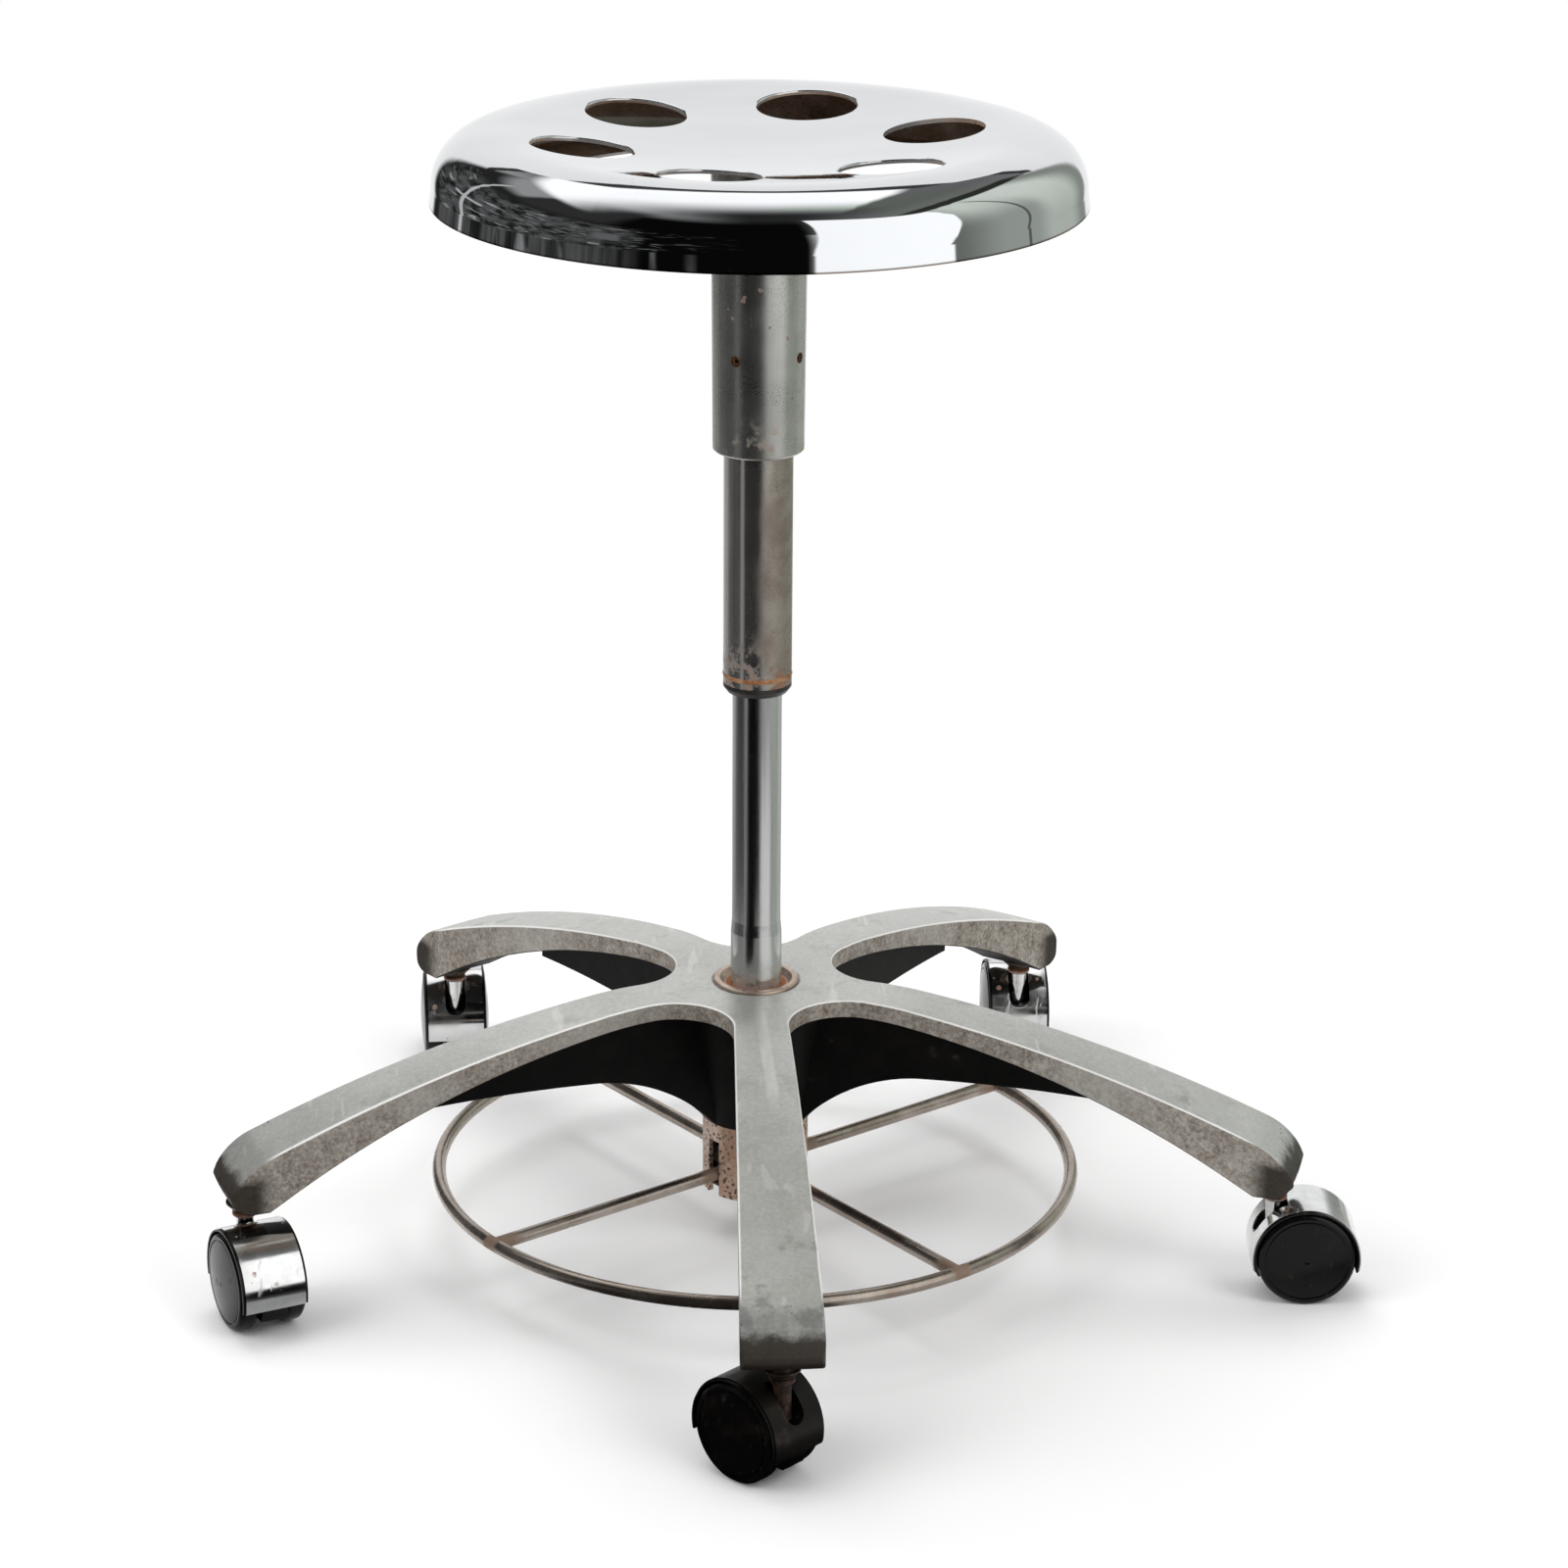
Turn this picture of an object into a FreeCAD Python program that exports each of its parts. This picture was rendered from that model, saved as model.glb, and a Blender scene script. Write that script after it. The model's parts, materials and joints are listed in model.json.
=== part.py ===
import FreeCAD, Part
import Sketcher
import math
import os

# Medical stool on five hooded twin-wheel casters. Millimetres, +Z up.
# The origin is on the floor under the centre of the column, and one arm points along -Y.

DRIVING = {
    # Seat, a pressed sheet dish with six round holes
    "seat_rise": 169.2,
    "seat_radius": 177.1,
    "seat_depth": 37.2,
    "seat_flare": 1.1,
    "seat_gauge": 1.5,
    "seat_flange": 40.0,
    "shoulder_radius": 26.9,
    "crown_radius": 71.7,
    "crown_start": 6.0,
    "dish_radius": 920.0,
    "hole_reach": 97.8,
    "hole_radius": 28.0,
    "hole_lip": 2.0,
    "hole_round": 1.1,
    "plate_radius": 60.0,
    "plate_boss": 36.0,
    "plate_boss_depth": 5.5,
    "plate_edge": 2.0,
    # Seat socket and its two grub screws
    "socket_top_radius": 26.5,
    "socket_mouth_radius": 25.3,
    "socket_length": 160.0,
    "socket_chamfer": 1.2,
    "grub_drop": 105.0,
    "grub_radius": 3.0,
    "grub_length": 5.0,
    "grub_key": 1.5,
    # Guide tube that slides with the seat
    "guide_radius": 19.25,
    "guide_bore": 16.2,
    "guide_below_socket": 134.0,
    "wiper_rise": 3.4,
    "wiper_height": 2.6,
    "wiper_stand": 0.35,
    "bush_nose": 5.5,
    "bush_taper": 3.0,
    "bush_nose_radius": 17.0,
    "bush_inside": 26.0,
    "cap_thickness": 7.0,
    "cap_top_gap": 3.0,
    "washer_thickness": 2.0,
    "washer_radius": 11.0,
    "clip_thickness": 1.2,
    "clip_radius": 8.5,
    # Pressure tube, rod and valve
    "tube_radius": 14.0,
    "tube_bore": 12.0,
    "tube_height": 323.0,
    "tube_swell": 0.6,
    "tube_swell_height": 31.0,
    "tube_swell_blend": 7.0,
    "tube_foot": 4.0,
    "cone_draw": 1.6,
    "rod_radius": 5.0,
    "rod_chamfer": 1.5,
    "rod_collar": 1.0,
    "rod_collar_height": 2.0,
    "rod_tail": 2.0,
    "rod_guide_height": 16.0,
    "slide_ring_height": 12.0,
    "piston_height": 10.0,
    "piston_drop": 0.4,
    "valve_height": 18.0,
    "valve_radius": 3.0,
    "valve_reach": 14.0,
    "valve_pin_length": 27.5,
    # Hub of the base
    "hub_rise": 90.5,
    "hub_flat": 62.0,
    "hub_thickness": 11.0,
    "boss_depth": 82.0,
    "boss_radius": 31.5,
    "collar_radius": 24.5,
    "collar_stand": 1.6,
    "collar_dish": 3.6,
    "collar_round": 1.4,
    # Arms of the base
    "arm_reach": 318.0,
    "stem_inset": 13.0,
    "arm_root_width": 27.3,
    "arm_tip_width": 44.6,
    "arm_corner": 8.0,
    "web_radius": 33.0,
    "bend_radius": 214.0,
    "brow_inset": 22.0,
    "brow_rise": 32.7,
    "nose_radius": 40.0,
    "toe_inset": 14.0,
    "toe_rise": 10.9,
    "toe_radius": 12.5,
    "sole_length": 8.0,
    "heel_inset": 36.0,
    "heel_rise": 8.2,
    "under_bend": 200.0,
    "arm_round": 1.3,
    # Ribs under the arms
    "rib_inset": 119.0,
    "rib_root_width": 26.0,
    "rib_tip_width": 16.0,
    "rib_tip_drop": 47.5,
    "rib_mid_reach": 100.0,
    "rib_mid_drop": 46.3,
    "rib_throat": 94.0,
    "rib_curve": 940.0,
    "rib_bite": 5.0,
    "rib_neck_reach": 108.0,
    "rib_neck_drop": 12.9,
    "rib_end_height": 12.0,
    # Release sleeve, foot ring and its hub
    "sleeve_radius": 30.5,
    "sleeve_wall": 3.0,
    "sleeve_length": 45.0,
    "sleeve_roof": 4.0,
    "slot_width": 9.4,
    "slot_margin": 11.4,
    "snap_thickness": 1.6,
    "snap_width": 4.0,
    "snap_seat_depth": 1.0,
    "ring_radius": 184.0,
    "ring_wire": 3.9,
    "ring_drop": 33.0,
    "hub_disc_radius": 25.3,
    "hub_disc_height": 11.0,
    "hub_disc_boss": 10.0,
    "hub_disc_boss_height": 4.0,
    "spoke_inset": 14.0,
    "push_shank": 4.0,
    "push_head": 6.5,
    "push_head_height": 4.5,
    "push_round": 1.3,
    "push_tail": 1.0,
    "push_nut_apothem": 6.5,
    "push_nut_height": 5.0,
    "push_gap": 0.3,
    # Casters
    "wheel_radius": 27.8,
    "wheel_inner": 8.0,
    "wheel_outer": 19.6,
    "wheel_dome": 21.6,
    "wheel_round": 3.0,
    "rim_inset": 3.8,
    "wheel_groove": 0.8,
    "tread_wall": 7.8,
    "wheel_web": 3.0,
    "wheel_hub": 6.0,
    "axle_radius": 2.5,
    "axle_end": 18.0,
    "trail": 17.5,
    "fender_margin": 2.2,
    "fender_wall": 1.0,
    "fender_drop": 0.5,
    "fender_half": 18.9,
    "fender_tail": 7.5,
    "web_half": 7.5,
    "web_drop": 15.8,
    "cover_gauge": 0.8,
    "cover_half": 17.4,
    "notch_half": 6.4,
    "notch_rise": 9.2,
    "notch_back": 7.2,
    "stem_radius": 5.0,
    "stem_rise": 0.2,
    "stem_collar": 6.9,
    "stem_collar_height": 3.0,
    "stem_collar_round": 0.8,
    "stem_top_depth": 3.0,
    "tip_socket_radius": 7.5,
    "tip_socket_depth": 15.0,
    "tip_flange": 10.2,
    "tip_flange_low": 6.6,
    "tip_flange_height": 4.6,
    "tip_flange_edge": 0.9,
    "tip_groove": 1.0,
    # Fits
    "running_gap": 0.05,
    "thrust_gap": 0.3,
    "seat_gap": 0.02,
    "overrun": 2.0,
}

ARM_COUNT = 5
HOLE_COUNT = 6
SPOKE_COUNT = 4
FIRST_HOLE_DEG = 11.8
FIRST_SPOKE_DEG = 35.0
GRUB_DEG = (-122.5, -32.5)
HEX_SIDES = 6
FULL_TURN_DEG = 360.0
QUARTER_TURN_DEG = 90.0

# How far an edge may depart from a hole rim and still be taken for it
RIM_LENGTH_SHARE = 0.01
RIM_PLACE_SHARE = 0.05
ALIGNED_SHARE = 0.000001

# Fall of an arm's upper face over its length where the nose begins
BROW_SLOPE_SHARE = 0.402

# Swivel of each caster: the direction in which its axle trails behind the stem, front arm first
SWIVEL_DEG = (132.8, -3.1, 91.0, 93.0, -66.6)
CASTER_NAMES = ("front", "right_front", "right_rear", "left_rear", "left_front")

doc = FreeCAD.newDocument("MedicalStool")
sheet = doc.addObject("Spreadsheet::Sheet", "Sizes")


class Size:
    """A length that carries its value and the sheet expression that it comes from."""

    def __init__(self, value, text):
        self.value = value
        self.text = text

    def join(self, other, value, sign):
        text = other.text if isinstance(other, Size) else repr(float(other))
        return Size(value, f"({self.text} {sign} {text})")

    def __add__(self, other):
        return self.join(other, self.value + number(other), "+")

    def __sub__(self, other):
        return self.join(other, self.value - number(other), "-")

    def __mul__(self, other):
        return self.join(other, self.value * number(other), "*")

    def __truediv__(self, other):
        return self.join(other, self.value / number(other), "/")

    def __pow__(self, power):
        return self.join(power, self.value ** power, "^")

    def __neg__(self):
        return self * -1

    def __rmul__(self, factor):
        return self * factor

    def __radd__(self, other):
        return self + other


def number(size):
    return size.value if isinstance(size, Size) else float(size)


def fill_sheet():
    sizes = {}
    for row, (alias, value) in enumerate(DRIVING.items(), start=1):
        sheet.set(f"A{row}", alias)
        sheet.set(f"B{row}", str(value))
        sheet.setAlias(f"B{row}", alias)
        sizes[alias] = Size(float(value), f"Sizes.{alias}")
    doc.recompute()
    return sizes


S = fill_sheet()
derived = []


def derive(alias, size):
    """Give a size that follows from others its own row in the sheet."""
    row = len(DRIVING) + len(derived) + 1
    derived.append(alias)
    sheet.set(f"A{row}", alias)
    sheet.set(f"B{row}", "=" + size.text.replace("Sizes.", ""))
    sheet.setAlias(f"B{row}", alias)
    return Size(size.value, f"Sizes.{alias}")


def bind(target, prop, size):
    """Set a property and tie it to the sheet."""
    setattr(target, prop, number(size))
    if isinstance(size, Size):
        target.setExpression(prop, size.text)


def place(target, x=0, y=0, z=0, rotation=None):
    target.Placement = FreeCAD.Placement(
        FreeCAD.Vector(number(x), number(y), number(z)), rotation or FreeCAD.Rotation()
    )
    for axis, size in (("x", x), ("y", y), ("z", z)):
        if isinstance(size, Size):
            target.setExpression(f"Placement.Base.{axis}", size.text)
    return target


def polar(radius, degrees):
    angle = math.radians(degrees)
    return radius * math.cos(angle), radius * math.sin(angle)


def turn_z(degrees):
    return FreeCAD.Rotation(FreeCAD.Vector(0, 0, 1), degrees)


# Sketches and bodies

def origin_plane(body, role):
    for feature in body.Origin.OriginFeatures:
        if feature.Role == role:
            return feature
    raise RuntimeError(f"no plane {role}")


def arc_between(start, end, radius, turn):
    """The short arc from start to end; turn 1 runs anticlockwise, -1 clockwise."""
    chord = end.sub(start)
    half = chord.Length / 2
    rise = math.sqrt(max(radius * radius - half * half, 0))
    left = FreeCAD.Vector(-chord.y, chord.x, 0).normalize()
    centre = start.add(chord.multiply(1 / 2)).add(left.multiply(rise * turn))
    first, last = (start, end) if turn > 0 else (end, start)
    circle = Part.Circle(centre, FreeCAD.Vector(0, 0, 1), radius)
    return Part.ArcOfCircle(circle, circle.parameter(first), circle.parameter(last))


def sketch_outline(body, name, role, corners):
    """Closed outline. Each corner is (x, y) and may add (radius, turn) of the arc that leaves it."""
    sketch = body.newObject("Sketcher::SketchObject", name)
    sketch.AttachmentSupport = [(origin_plane(body, role), "")]
    sketch.MapMode = "FlatFace"
    spots = [FreeCAD.Vector(number(c[0]), number(c[1]), 0) for c in corners]
    ends = []
    for index, corner in enumerate(corners):
        start, end = spots[index], spots[(index + 1) % len(spots)]
        if corner[2:]:
            radius, turn = corner[2]
            edge = sketch.addGeometry(arc_between(start, end, number(radius), turn), False)
            ends.append((1, 2) if turn > 0 else (2, 1))
            held = sketch.addConstraint(Sketcher.Constraint("Radius", edge, number(radius)))
            sketch.setExpression(f"Constraints[{held}]", radius.text)
        else:
            sketch.addGeometry(Part.LineSegment(start, end), False)
            ends.append((1, 2))
    count = len(corners)
    for index in range(count):
        following = (index + 1) % count
        sketch.addConstraint(
            Sketcher.Constraint("Coincident", index, ends[index][1], following, ends[following][0])
        )
    for index, corner in enumerate(corners):
        for kind, size in (("DistanceX", corner[0]), ("DistanceY", corner[1])):
            held = sketch.addConstraint(
                Sketcher.Constraint(kind, -1, 1, index, ends[index][0], number(size))
            )
            if isinstance(size, Size):
                sketch.setExpression(f"Constraints[{held}]", size.text)
    return sketch


def new_body(name):
    body = doc.addObject("PartDesign::Body", name)
    body.Label = name
    return body


def lathe(name, corners):
    """A body turned about Z from an outline in radius and height."""
    body = new_body(name)
    sketch = sketch_outline(body, f"{name}_outline", "XZ_Plane", corners)
    turned = body.newObject("PartDesign::Revolution", f"{name}_turned")
    turned.Profile = sketch
    turned.ReferenceAxis = (sketch, ["V_Axis"])
    turned.Angle = FULL_TURN_DEG
    return body


def slab(name, role, corners, height):
    """A body raised from an outline by height along the plane's normal."""
    body = new_body(name)
    sketch = sketch_outline(body, f"{name}_outline", role, corners)
    raised = body.newObject("PartDesign::Pad", f"{name}_raised")
    raised.Profile = sketch
    bind(raised, "Length", height)
    return body


# Plain forms and what is done with them

def rod(name, radius, height, x=0, y=0, z=0, rotation=None):
    cylinder = doc.addObject("Part::Cylinder", name)
    bind(cylinder, "Radius", radius)
    bind(cylinder, "Height", height)
    return place(cylinder, x, y, z, rotation)


def cut(name, base, *tools):
    tool = tools[0] if len(tools) == 1 else fuse(f"{name}_tools", *tools)
    result = doc.addObject("Part::Cut", name)
    result.Base = base
    result.Tool = tool
    return result


def fuse(name, *shapes):
    result = doc.addObject("Part::MultiFuse", name)
    result.Shapes = list(shapes)
    return result


def common(name, *shapes):
    result = doc.addObject("Part::MultiCommon", name)
    result.Shapes = list(shapes)
    return result


def group(name, *shapes):
    result = doc.addObject("Part::Compound", name)
    result.Links = list(shapes)
    return result


def rounded(name, base, radius, wanted):
    """Round the edges of base that the test wanted picks."""
    doc.recompute()
    picked = [i for i, edge in enumerate(base.Shape.Edges, start=1) if wanted(edge, base.Shape)]
    result = doc.addObject("Part::Fillet", name)
    result.Base = base
    result.Edges = [(i, number(radius), number(radius)) for i in picked]
    return result


def tube(name, outer, inner, bottom, top):
    return lathe(name, [(inner, bottom), (outer, bottom), (outer, top), (inner, top)])


def copy_of(name, source, placement):
    """The same form again, set down somewhere else."""
    again = group(name, source)
    again.Placement = placement
    return again


# Heights and radii that several pieces share

fender_radius = derive("fender_radius", S["wheel_radius"] + S["fender_margin"])
notch_bottom = derive("notch_bottom", S["wheel_radius"] + S["notch_rise"])
stem_foot = derive("stem_foot", S["wheel_radius"] + S["stem_rise"])
stem_reach = derive("stem_reach", S["arm_reach"] - S["stem_inset"])
toe_height = derive("toe_height", S["wheel_radius"] * 2 + S["toe_rise"])
heel_height = derive("heel_height", toe_height + S["heel_rise"])
brow_height = derive("brow_height", toe_height + S["brow_rise"])
hub_top = derive("hub_top", toe_height + S["hub_rise"])
strap_low = derive("strap_low", hub_top - S["hub_thickness"])
boss_bottom = derive("boss_bottom", hub_top - S["boss_depth"])
sleeve_bottom = derive("sleeve_bottom", boss_bottom - S["sleeve_length"])
slot_top = derive("slot_top", boss_bottom - S["slot_margin"])
ring_height = derive("ring_height", boss_bottom - S["ring_drop"])
disc_low = derive("disc_low", ring_height - S["hub_disc_height"] / 2)
disc_high = derive("disc_high", ring_height + S["hub_disc_height"] / 2)
snap_low = derive("snap_low", disc_low - S["thrust_gap"] - S["snap_thickness"])

tube_low = derive("tube_low", boss_bottom + S["tube_foot"])
tube_high = derive("tube_high", hub_top + S["tube_height"])
tube_swell_radius = derive("tube_swell_radius", S["tube_radius"] + S["tube_swell"])
cone_low_radius = derive("cone_low_radius", tube_swell_radius - S["cone_draw"])
valve_low = derive("valve_low", tube_low - S["valve_reach"])
rod_guide_low = derive("rod_guide_low", tube_high - S["rod_guide_height"])
piston_high = derive("piston_high", rod_guide_low - S["piston_drop"])
piston_low = derive("piston_low", piston_high - S["piston_height"])

seat_top = derive("seat_top", tube_high + S["seat_rise"])
rim_height = derive("rim_height", seat_top - S["seat_depth"])
shoulder_x = derive("shoulder_x", S["seat_radius"] - S["shoulder_radius"])
crown_share = derive("crown_share", S["crown_start"] / S["shoulder_radius"])
crown_rise_share = derive("crown_rise_share", (crown_share ** 2 * -1 + 1) ** 0.5)
crown_x = derive("crown_x", shoulder_x + (S["shoulder_radius"] - S["crown_radius"]) * crown_share)
crown_z = derive("crown_z", seat_top - S["crown_radius"])
shoulder_z = derive(
    "shoulder_z", crown_z - (S["shoulder_radius"] - S["crown_radius"]) * crown_rise_share
)
dish_span = derive("dish_span", S["dish_radius"] + S["crown_radius"])
dish_centre = derive("dish_centre", crown_z + (dish_span ** 2 - crown_x ** 2) ** 0.5)
dish_low = derive("dish_low", dish_centre - S["dish_radius"])
plate_low = derive("plate_low", dish_low - S["seat_gauge"] - S["plate_boss_depth"])
socket_low = derive("socket_low", plate_low - S["socket_length"])
guide_low = derive("guide_low", socket_low - S["guide_below_socket"])
guide_high = derive("guide_high", plate_low - S["seat_gap"])
cap_high = derive("cap_high", guide_high - S["cap_top_gap"])
cap_low = derive("cap_low", cap_high - S["cap_thickness"])


def on_dish(radius, below=0):
    """Height of the dish's face at a radius, measured on a face that lies deeper by below."""
    return dish_centre - ((S["dish_radius"] + below) ** 2 - radius ** 2) ** 0.5


# Seat

def shoulder_end(depth):
    """Where the shoulder passes into the crown, on a face that lies deeper by depth."""
    reach = S["shoulder_radius"] - depth
    return reach, shoulder_x + reach * crown_share, shoulder_z + reach * crown_rise_share


def crown_end(depth):
    """Where the crown passes into the dish, on a face that lies deeper by depth."""
    reach = S["crown_radius"] - depth
    end_x = crown_x - reach * (crown_x / dish_span)
    return reach, end_x, crown_z + reach * ((dish_centre - crown_z) / dish_span)


def make_seat_shell():
    rim = S["seat_radius"]
    gauge = S["seat_gauge"]
    foot = rim + S["seat_flare"]
    flange = foot - S["seat_flange"]
    outer_shoulder, outer_x, outer_z = shoulder_end(0)
    inner_shoulder, inner_x, inner_z = shoulder_end(gauge)
    outer_crown, outer_meet_x, outer_meet_z = crown_end(0)
    inner_crown, inner_meet_x, inner_meet_z = crown_end(gauge)
    sheet_form = lathe(
        "seat_sheet",
        [
            (0, dish_low - gauge, (S["dish_radius"] + gauge, 1)),
            (inner_meet_x, inner_meet_z, (inner_crown, -1)),
            (inner_x, inner_z, (inner_shoulder, -1)),
            (rim - gauge, shoulder_z),
            (foot - gauge, rim_height + gauge),
            (flange, rim_height + gauge),
            (flange, rim_height),
            (foot, rim_height),
            (rim, shoulder_z, (outer_shoulder, 1)),
            (outer_x, outer_z, (outer_crown, 1)),
            (outer_meet_x, outer_meet_z, (S["dish_radius"], -1)),
            (0, dish_low),
        ],
    )
    lips = []
    bores = []
    tilt = math.degrees(math.asin(number(S["hole_reach"]) / number(S["dish_radius"])))
    for index in range(HOLE_COUNT):
        azimuth = FIRST_HOLE_DEG + index * FULL_TURN_DEG / HOLE_COUNT
        spin = turn_z(azimuth).multiply(FreeCAD.Rotation(FreeCAD.Vector(0, 1, 0), -tilt))
        down = spin.multVec(FreeCAD.Vector(0, 0, -1))
        centre = FreeCAD.Vector(0, 0, number(dish_centre))
        for label, kind, radius, near, far in (
            ("lip", lips, S["hole_radius"] + gauge, gauge / 2, S["hole_lip"]),
            ("bore", bores, S["hole_radius"], -S["overrun"], S["hole_lip"] + S["overrun"]),
        ):
            form = rod(f"hole_{index + 1}_{label}", radius, far - near)
            base = centre.add(down * number(S["dish_radius"] + far))
            form.Placement = FreeCAD.Placement(base, spin)
            kind.append(form)
    pressed = fuse("seat_pressed", sheet_form, *lips)
    open_shell = cut("seat_open", pressed, *bores)
    lip_length = math.tau * number(S["hole_radius"])
    return rounded(
        "seat_shell",
        open_shell,
        S["hole_round"],
        lambda edge, shape: is_hole_rim(edge, lip_length),
    )


def is_hole_rim(edge, length):
    """True for the upper rim of a hole: about the bore's length and nearest the sitter's side."""
    if abs(edge.Length / length - 1) > RIM_LENGTH_SHARE:
        return False
    centre = edge.CenterOfMass
    radial = math.hypot(centre.x, centre.y)
    away = math.hypot(radial, number(dish_centre) - centre.z)
    near_circle = abs(radial / number(S["hole_reach"]) - 1) < RIM_PLACE_SHARE
    return near_circle and away < number(S["dish_radius"])


def make_seat_plate():
    gauge = S["seat_gauge"]
    face = gauge + S["seat_gap"]
    edge = S["plate_radius"]
    edge_top = on_dish(edge, face)
    return lathe(
        "seat_plate",
        [
            (0, plate_low),
            (S["plate_boss"], plate_low),
            (edge, edge_top - S["plate_edge"]),
            (edge, edge_top, (S["dish_radius"] + face, -1)),
            (0, dish_low - face),
        ],
    )


def make_seat_socket():
    bore = S["guide_radius"] + S["seat_gap"]
    mouth = S["socket_mouth_radius"]
    chamfer = S["socket_chamfer"]
    top = plate_low - S["seat_gap"]
    body = lathe(
        "socket_form",
        [
            (bore, socket_low),
            (mouth - chamfer, socket_low),
            (mouth, socket_low + chamfer),
            (S["socket_top_radius"], top),
            (bore, top),
        ],
    )
    height = plate_low - S["grub_drop"]
    holes = []
    for index, degrees in enumerate(GRUB_DEG):
        spin = turn_z(degrees).multiply(FreeCAD.Rotation(FreeCAD.Vector(0, 1, 0), QUARTER_TURN_DEG))
        holes.append(
            rod(
                f"grub_hole_{index + 1}",
                S["grub_radius"] + S["seat_gap"],
                S["socket_top_radius"] + S["overrun"],
                z=height,
                rotation=spin,
            )
        )
    return cut("seat_socket", body, *holes)


def make_grub_screws():
    height = plate_low - S["grub_drop"]
    start = S["guide_radius"] + S["seat_gap"]
    screws = []
    for index, degrees in enumerate(GRUB_DEG):
        tag = index + 1
        spin = turn_z(degrees).multiply(FreeCAD.Rotation(FreeCAD.Vector(0, 1, 0), QUARTER_TURN_DEG))
        base_x, base_y = polar(start, degrees)
        shank = rod(f"grub_{tag}_shank", S["grub_radius"], S["grub_length"], base_x, base_y, height, spin)
        key_x, key_y = polar(start + S["grub_length"] / 2, degrees)
        key = doc.addObject("Part::Prism", f"grub_{tag}_key")
        key.Polygon = HEX_SIDES
        bind(key, "Circumradius", S["grub_key"])
        bind(key, "Height", S["grub_length"])
        place(key, key_x, key_y, height, spin)
        screws.append(cut(f"grub_{tag}", shank, key))
    return group("grub_screws", *screws)


# Guide tube and what rides in it

def make_guide_tube():
    outer = S["guide_radius"]
    groove = outer - S["wiper_stand"] * 2
    groove_low = guide_low + S["wiper_rise"]
    groove_high = groove_low + S["wiper_height"]
    return lathe(
        "guide_tube",
        [
            (S["guide_bore"], guide_low),
            (outer, guide_low),
            (outer, groove_low),
            (groove, groove_low),
            (groove, groove_high),
            (outer, groove_high),
            (outer, guide_high),
            (S["guide_bore"], guide_high),
        ],
    )


def make_wiper_ring():
    low = guide_low + S["wiper_rise"] + S["seat_gap"]
    high = low + S["wiper_height"] - S["seat_gap"] * 2
    inner = S["guide_radius"] - S["wiper_stand"] * 2 + S["seat_gap"]
    outer = S["guide_radius"] + S["wiper_stand"]
    round_over = (high - low) / 2
    return lathe(
        "wiper_ring",
        [
            (inner, low),
            (S["guide_radius"], low),
            (outer, low + round_over),
            (S["guide_radius"], high),
            (inner, high),
        ],
    )


def make_guide_bush():
    bore = S["tube_radius"] + S["running_gap"]
    low = guide_low - S["bush_nose"]
    return lathe(
        "guide_bush",
        [
            (bore, low),
            (S["bush_nose_radius"], low),
            (S["guide_radius"] - S["seat_gap"], low + S["bush_taper"]),
            (S["guide_radius"] - S["seat_gap"], guide_low - S["seat_gap"]),
            (S["guide_bore"] - S["seat_gap"], guide_low - S["seat_gap"]),
            (S["guide_bore"] - S["seat_gap"], guide_low + S["bush_inside"]),
            (bore, guide_low + S["bush_inside"]),
        ],
    )


def make_guide_cap():
    return tube(
        "guide_cap",
        S["guide_bore"] - S["seat_gap"],
        S["rod_radius"] + S["running_gap"],
        cap_low,
        cap_high,
    )


def make_thrust_washer():
    top = cap_low - S["thrust_gap"]
    return tube(
        "thrust_washer",
        S["washer_radius"],
        S["rod_radius"] + S["seat_gap"],
        top - S["washer_thickness"],
        top,
    )


def make_rod_clip():
    low = cap_high + S["thrust_gap"]
    bore = S["rod_radius"] + S["seat_gap"]
    return tube("rod_clip", S["clip_radius"], bore, low, low + S["clip_thickness"])


def make_piston_rod():
    top = cap_high + S["thrust_gap"] * 2 + S["clip_thickness"] + S["thrust_gap"]
    shoulder = cap_low - S["thrust_gap"] - S["washer_thickness"] - S["seat_gap"]
    collar = S["rod_radius"] + S["rod_collar"]
    tip = S["rod_radius"] - S["rod_chamfer"]
    low = piston_low - S["rod_tail"]
    return lathe(
        "piston_rod",
        [
            (0, low),
            (S["rod_radius"] - S["seat_gap"], low),
            (S["rod_radius"] - S["seat_gap"], shoulder - S["rod_collar_height"]),
            (collar, shoulder - S["rod_collar_height"]),
            (collar, shoulder),
            (S["rod_radius"] - S["seat_gap"], shoulder),
            (S["rod_radius"] - S["seat_gap"], top - S["thrust_gap"]),
            (tip, top),
            (0, top),
        ],
    )


def make_piston():
    return tube(
        "piston",
        S["tube_bore"] - S["running_gap"],
        S["rod_radius"] + S["seat_gap"],
        piston_low,
        piston_high,
    )


# Pressure tube

def make_pressure_tube():
    outer = S["tube_radius"]
    swell = tube_swell_radius
    blend_low = hub_top + S["tube_swell_height"]
    return lathe(
        "pressure_tube",
        [
            (S["tube_bore"], tube_low),
            (cone_low_radius, tube_low),
            (swell, hub_top),
            (swell, blend_low),
            (outer, blend_low + S["tube_swell_blend"]),
            (outer, tube_high),
            (S["tube_bore"], tube_high),
        ],
    )


def make_rod_guide():
    return tube(
        "rod_guide",
        S["tube_bore"] - S["seat_gap"],
        S["rod_radius"] + S["running_gap"],
        rod_guide_low,
        tube_high,
    )


def make_slide_ring():
    return tube(
        "slide_ring",
        S["guide_bore"] - S["running_gap"],
        S["tube_radius"] + S["seat_gap"],
        tube_high - S["slide_ring_height"],
        tube_high,
    )


def make_valve_body():
    return tube(
        "valve_body",
        S["tube_bore"] - S["seat_gap"],
        S["valve_radius"] + S["running_gap"],
        tube_low,
        tube_low + S["valve_height"],
    )


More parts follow.
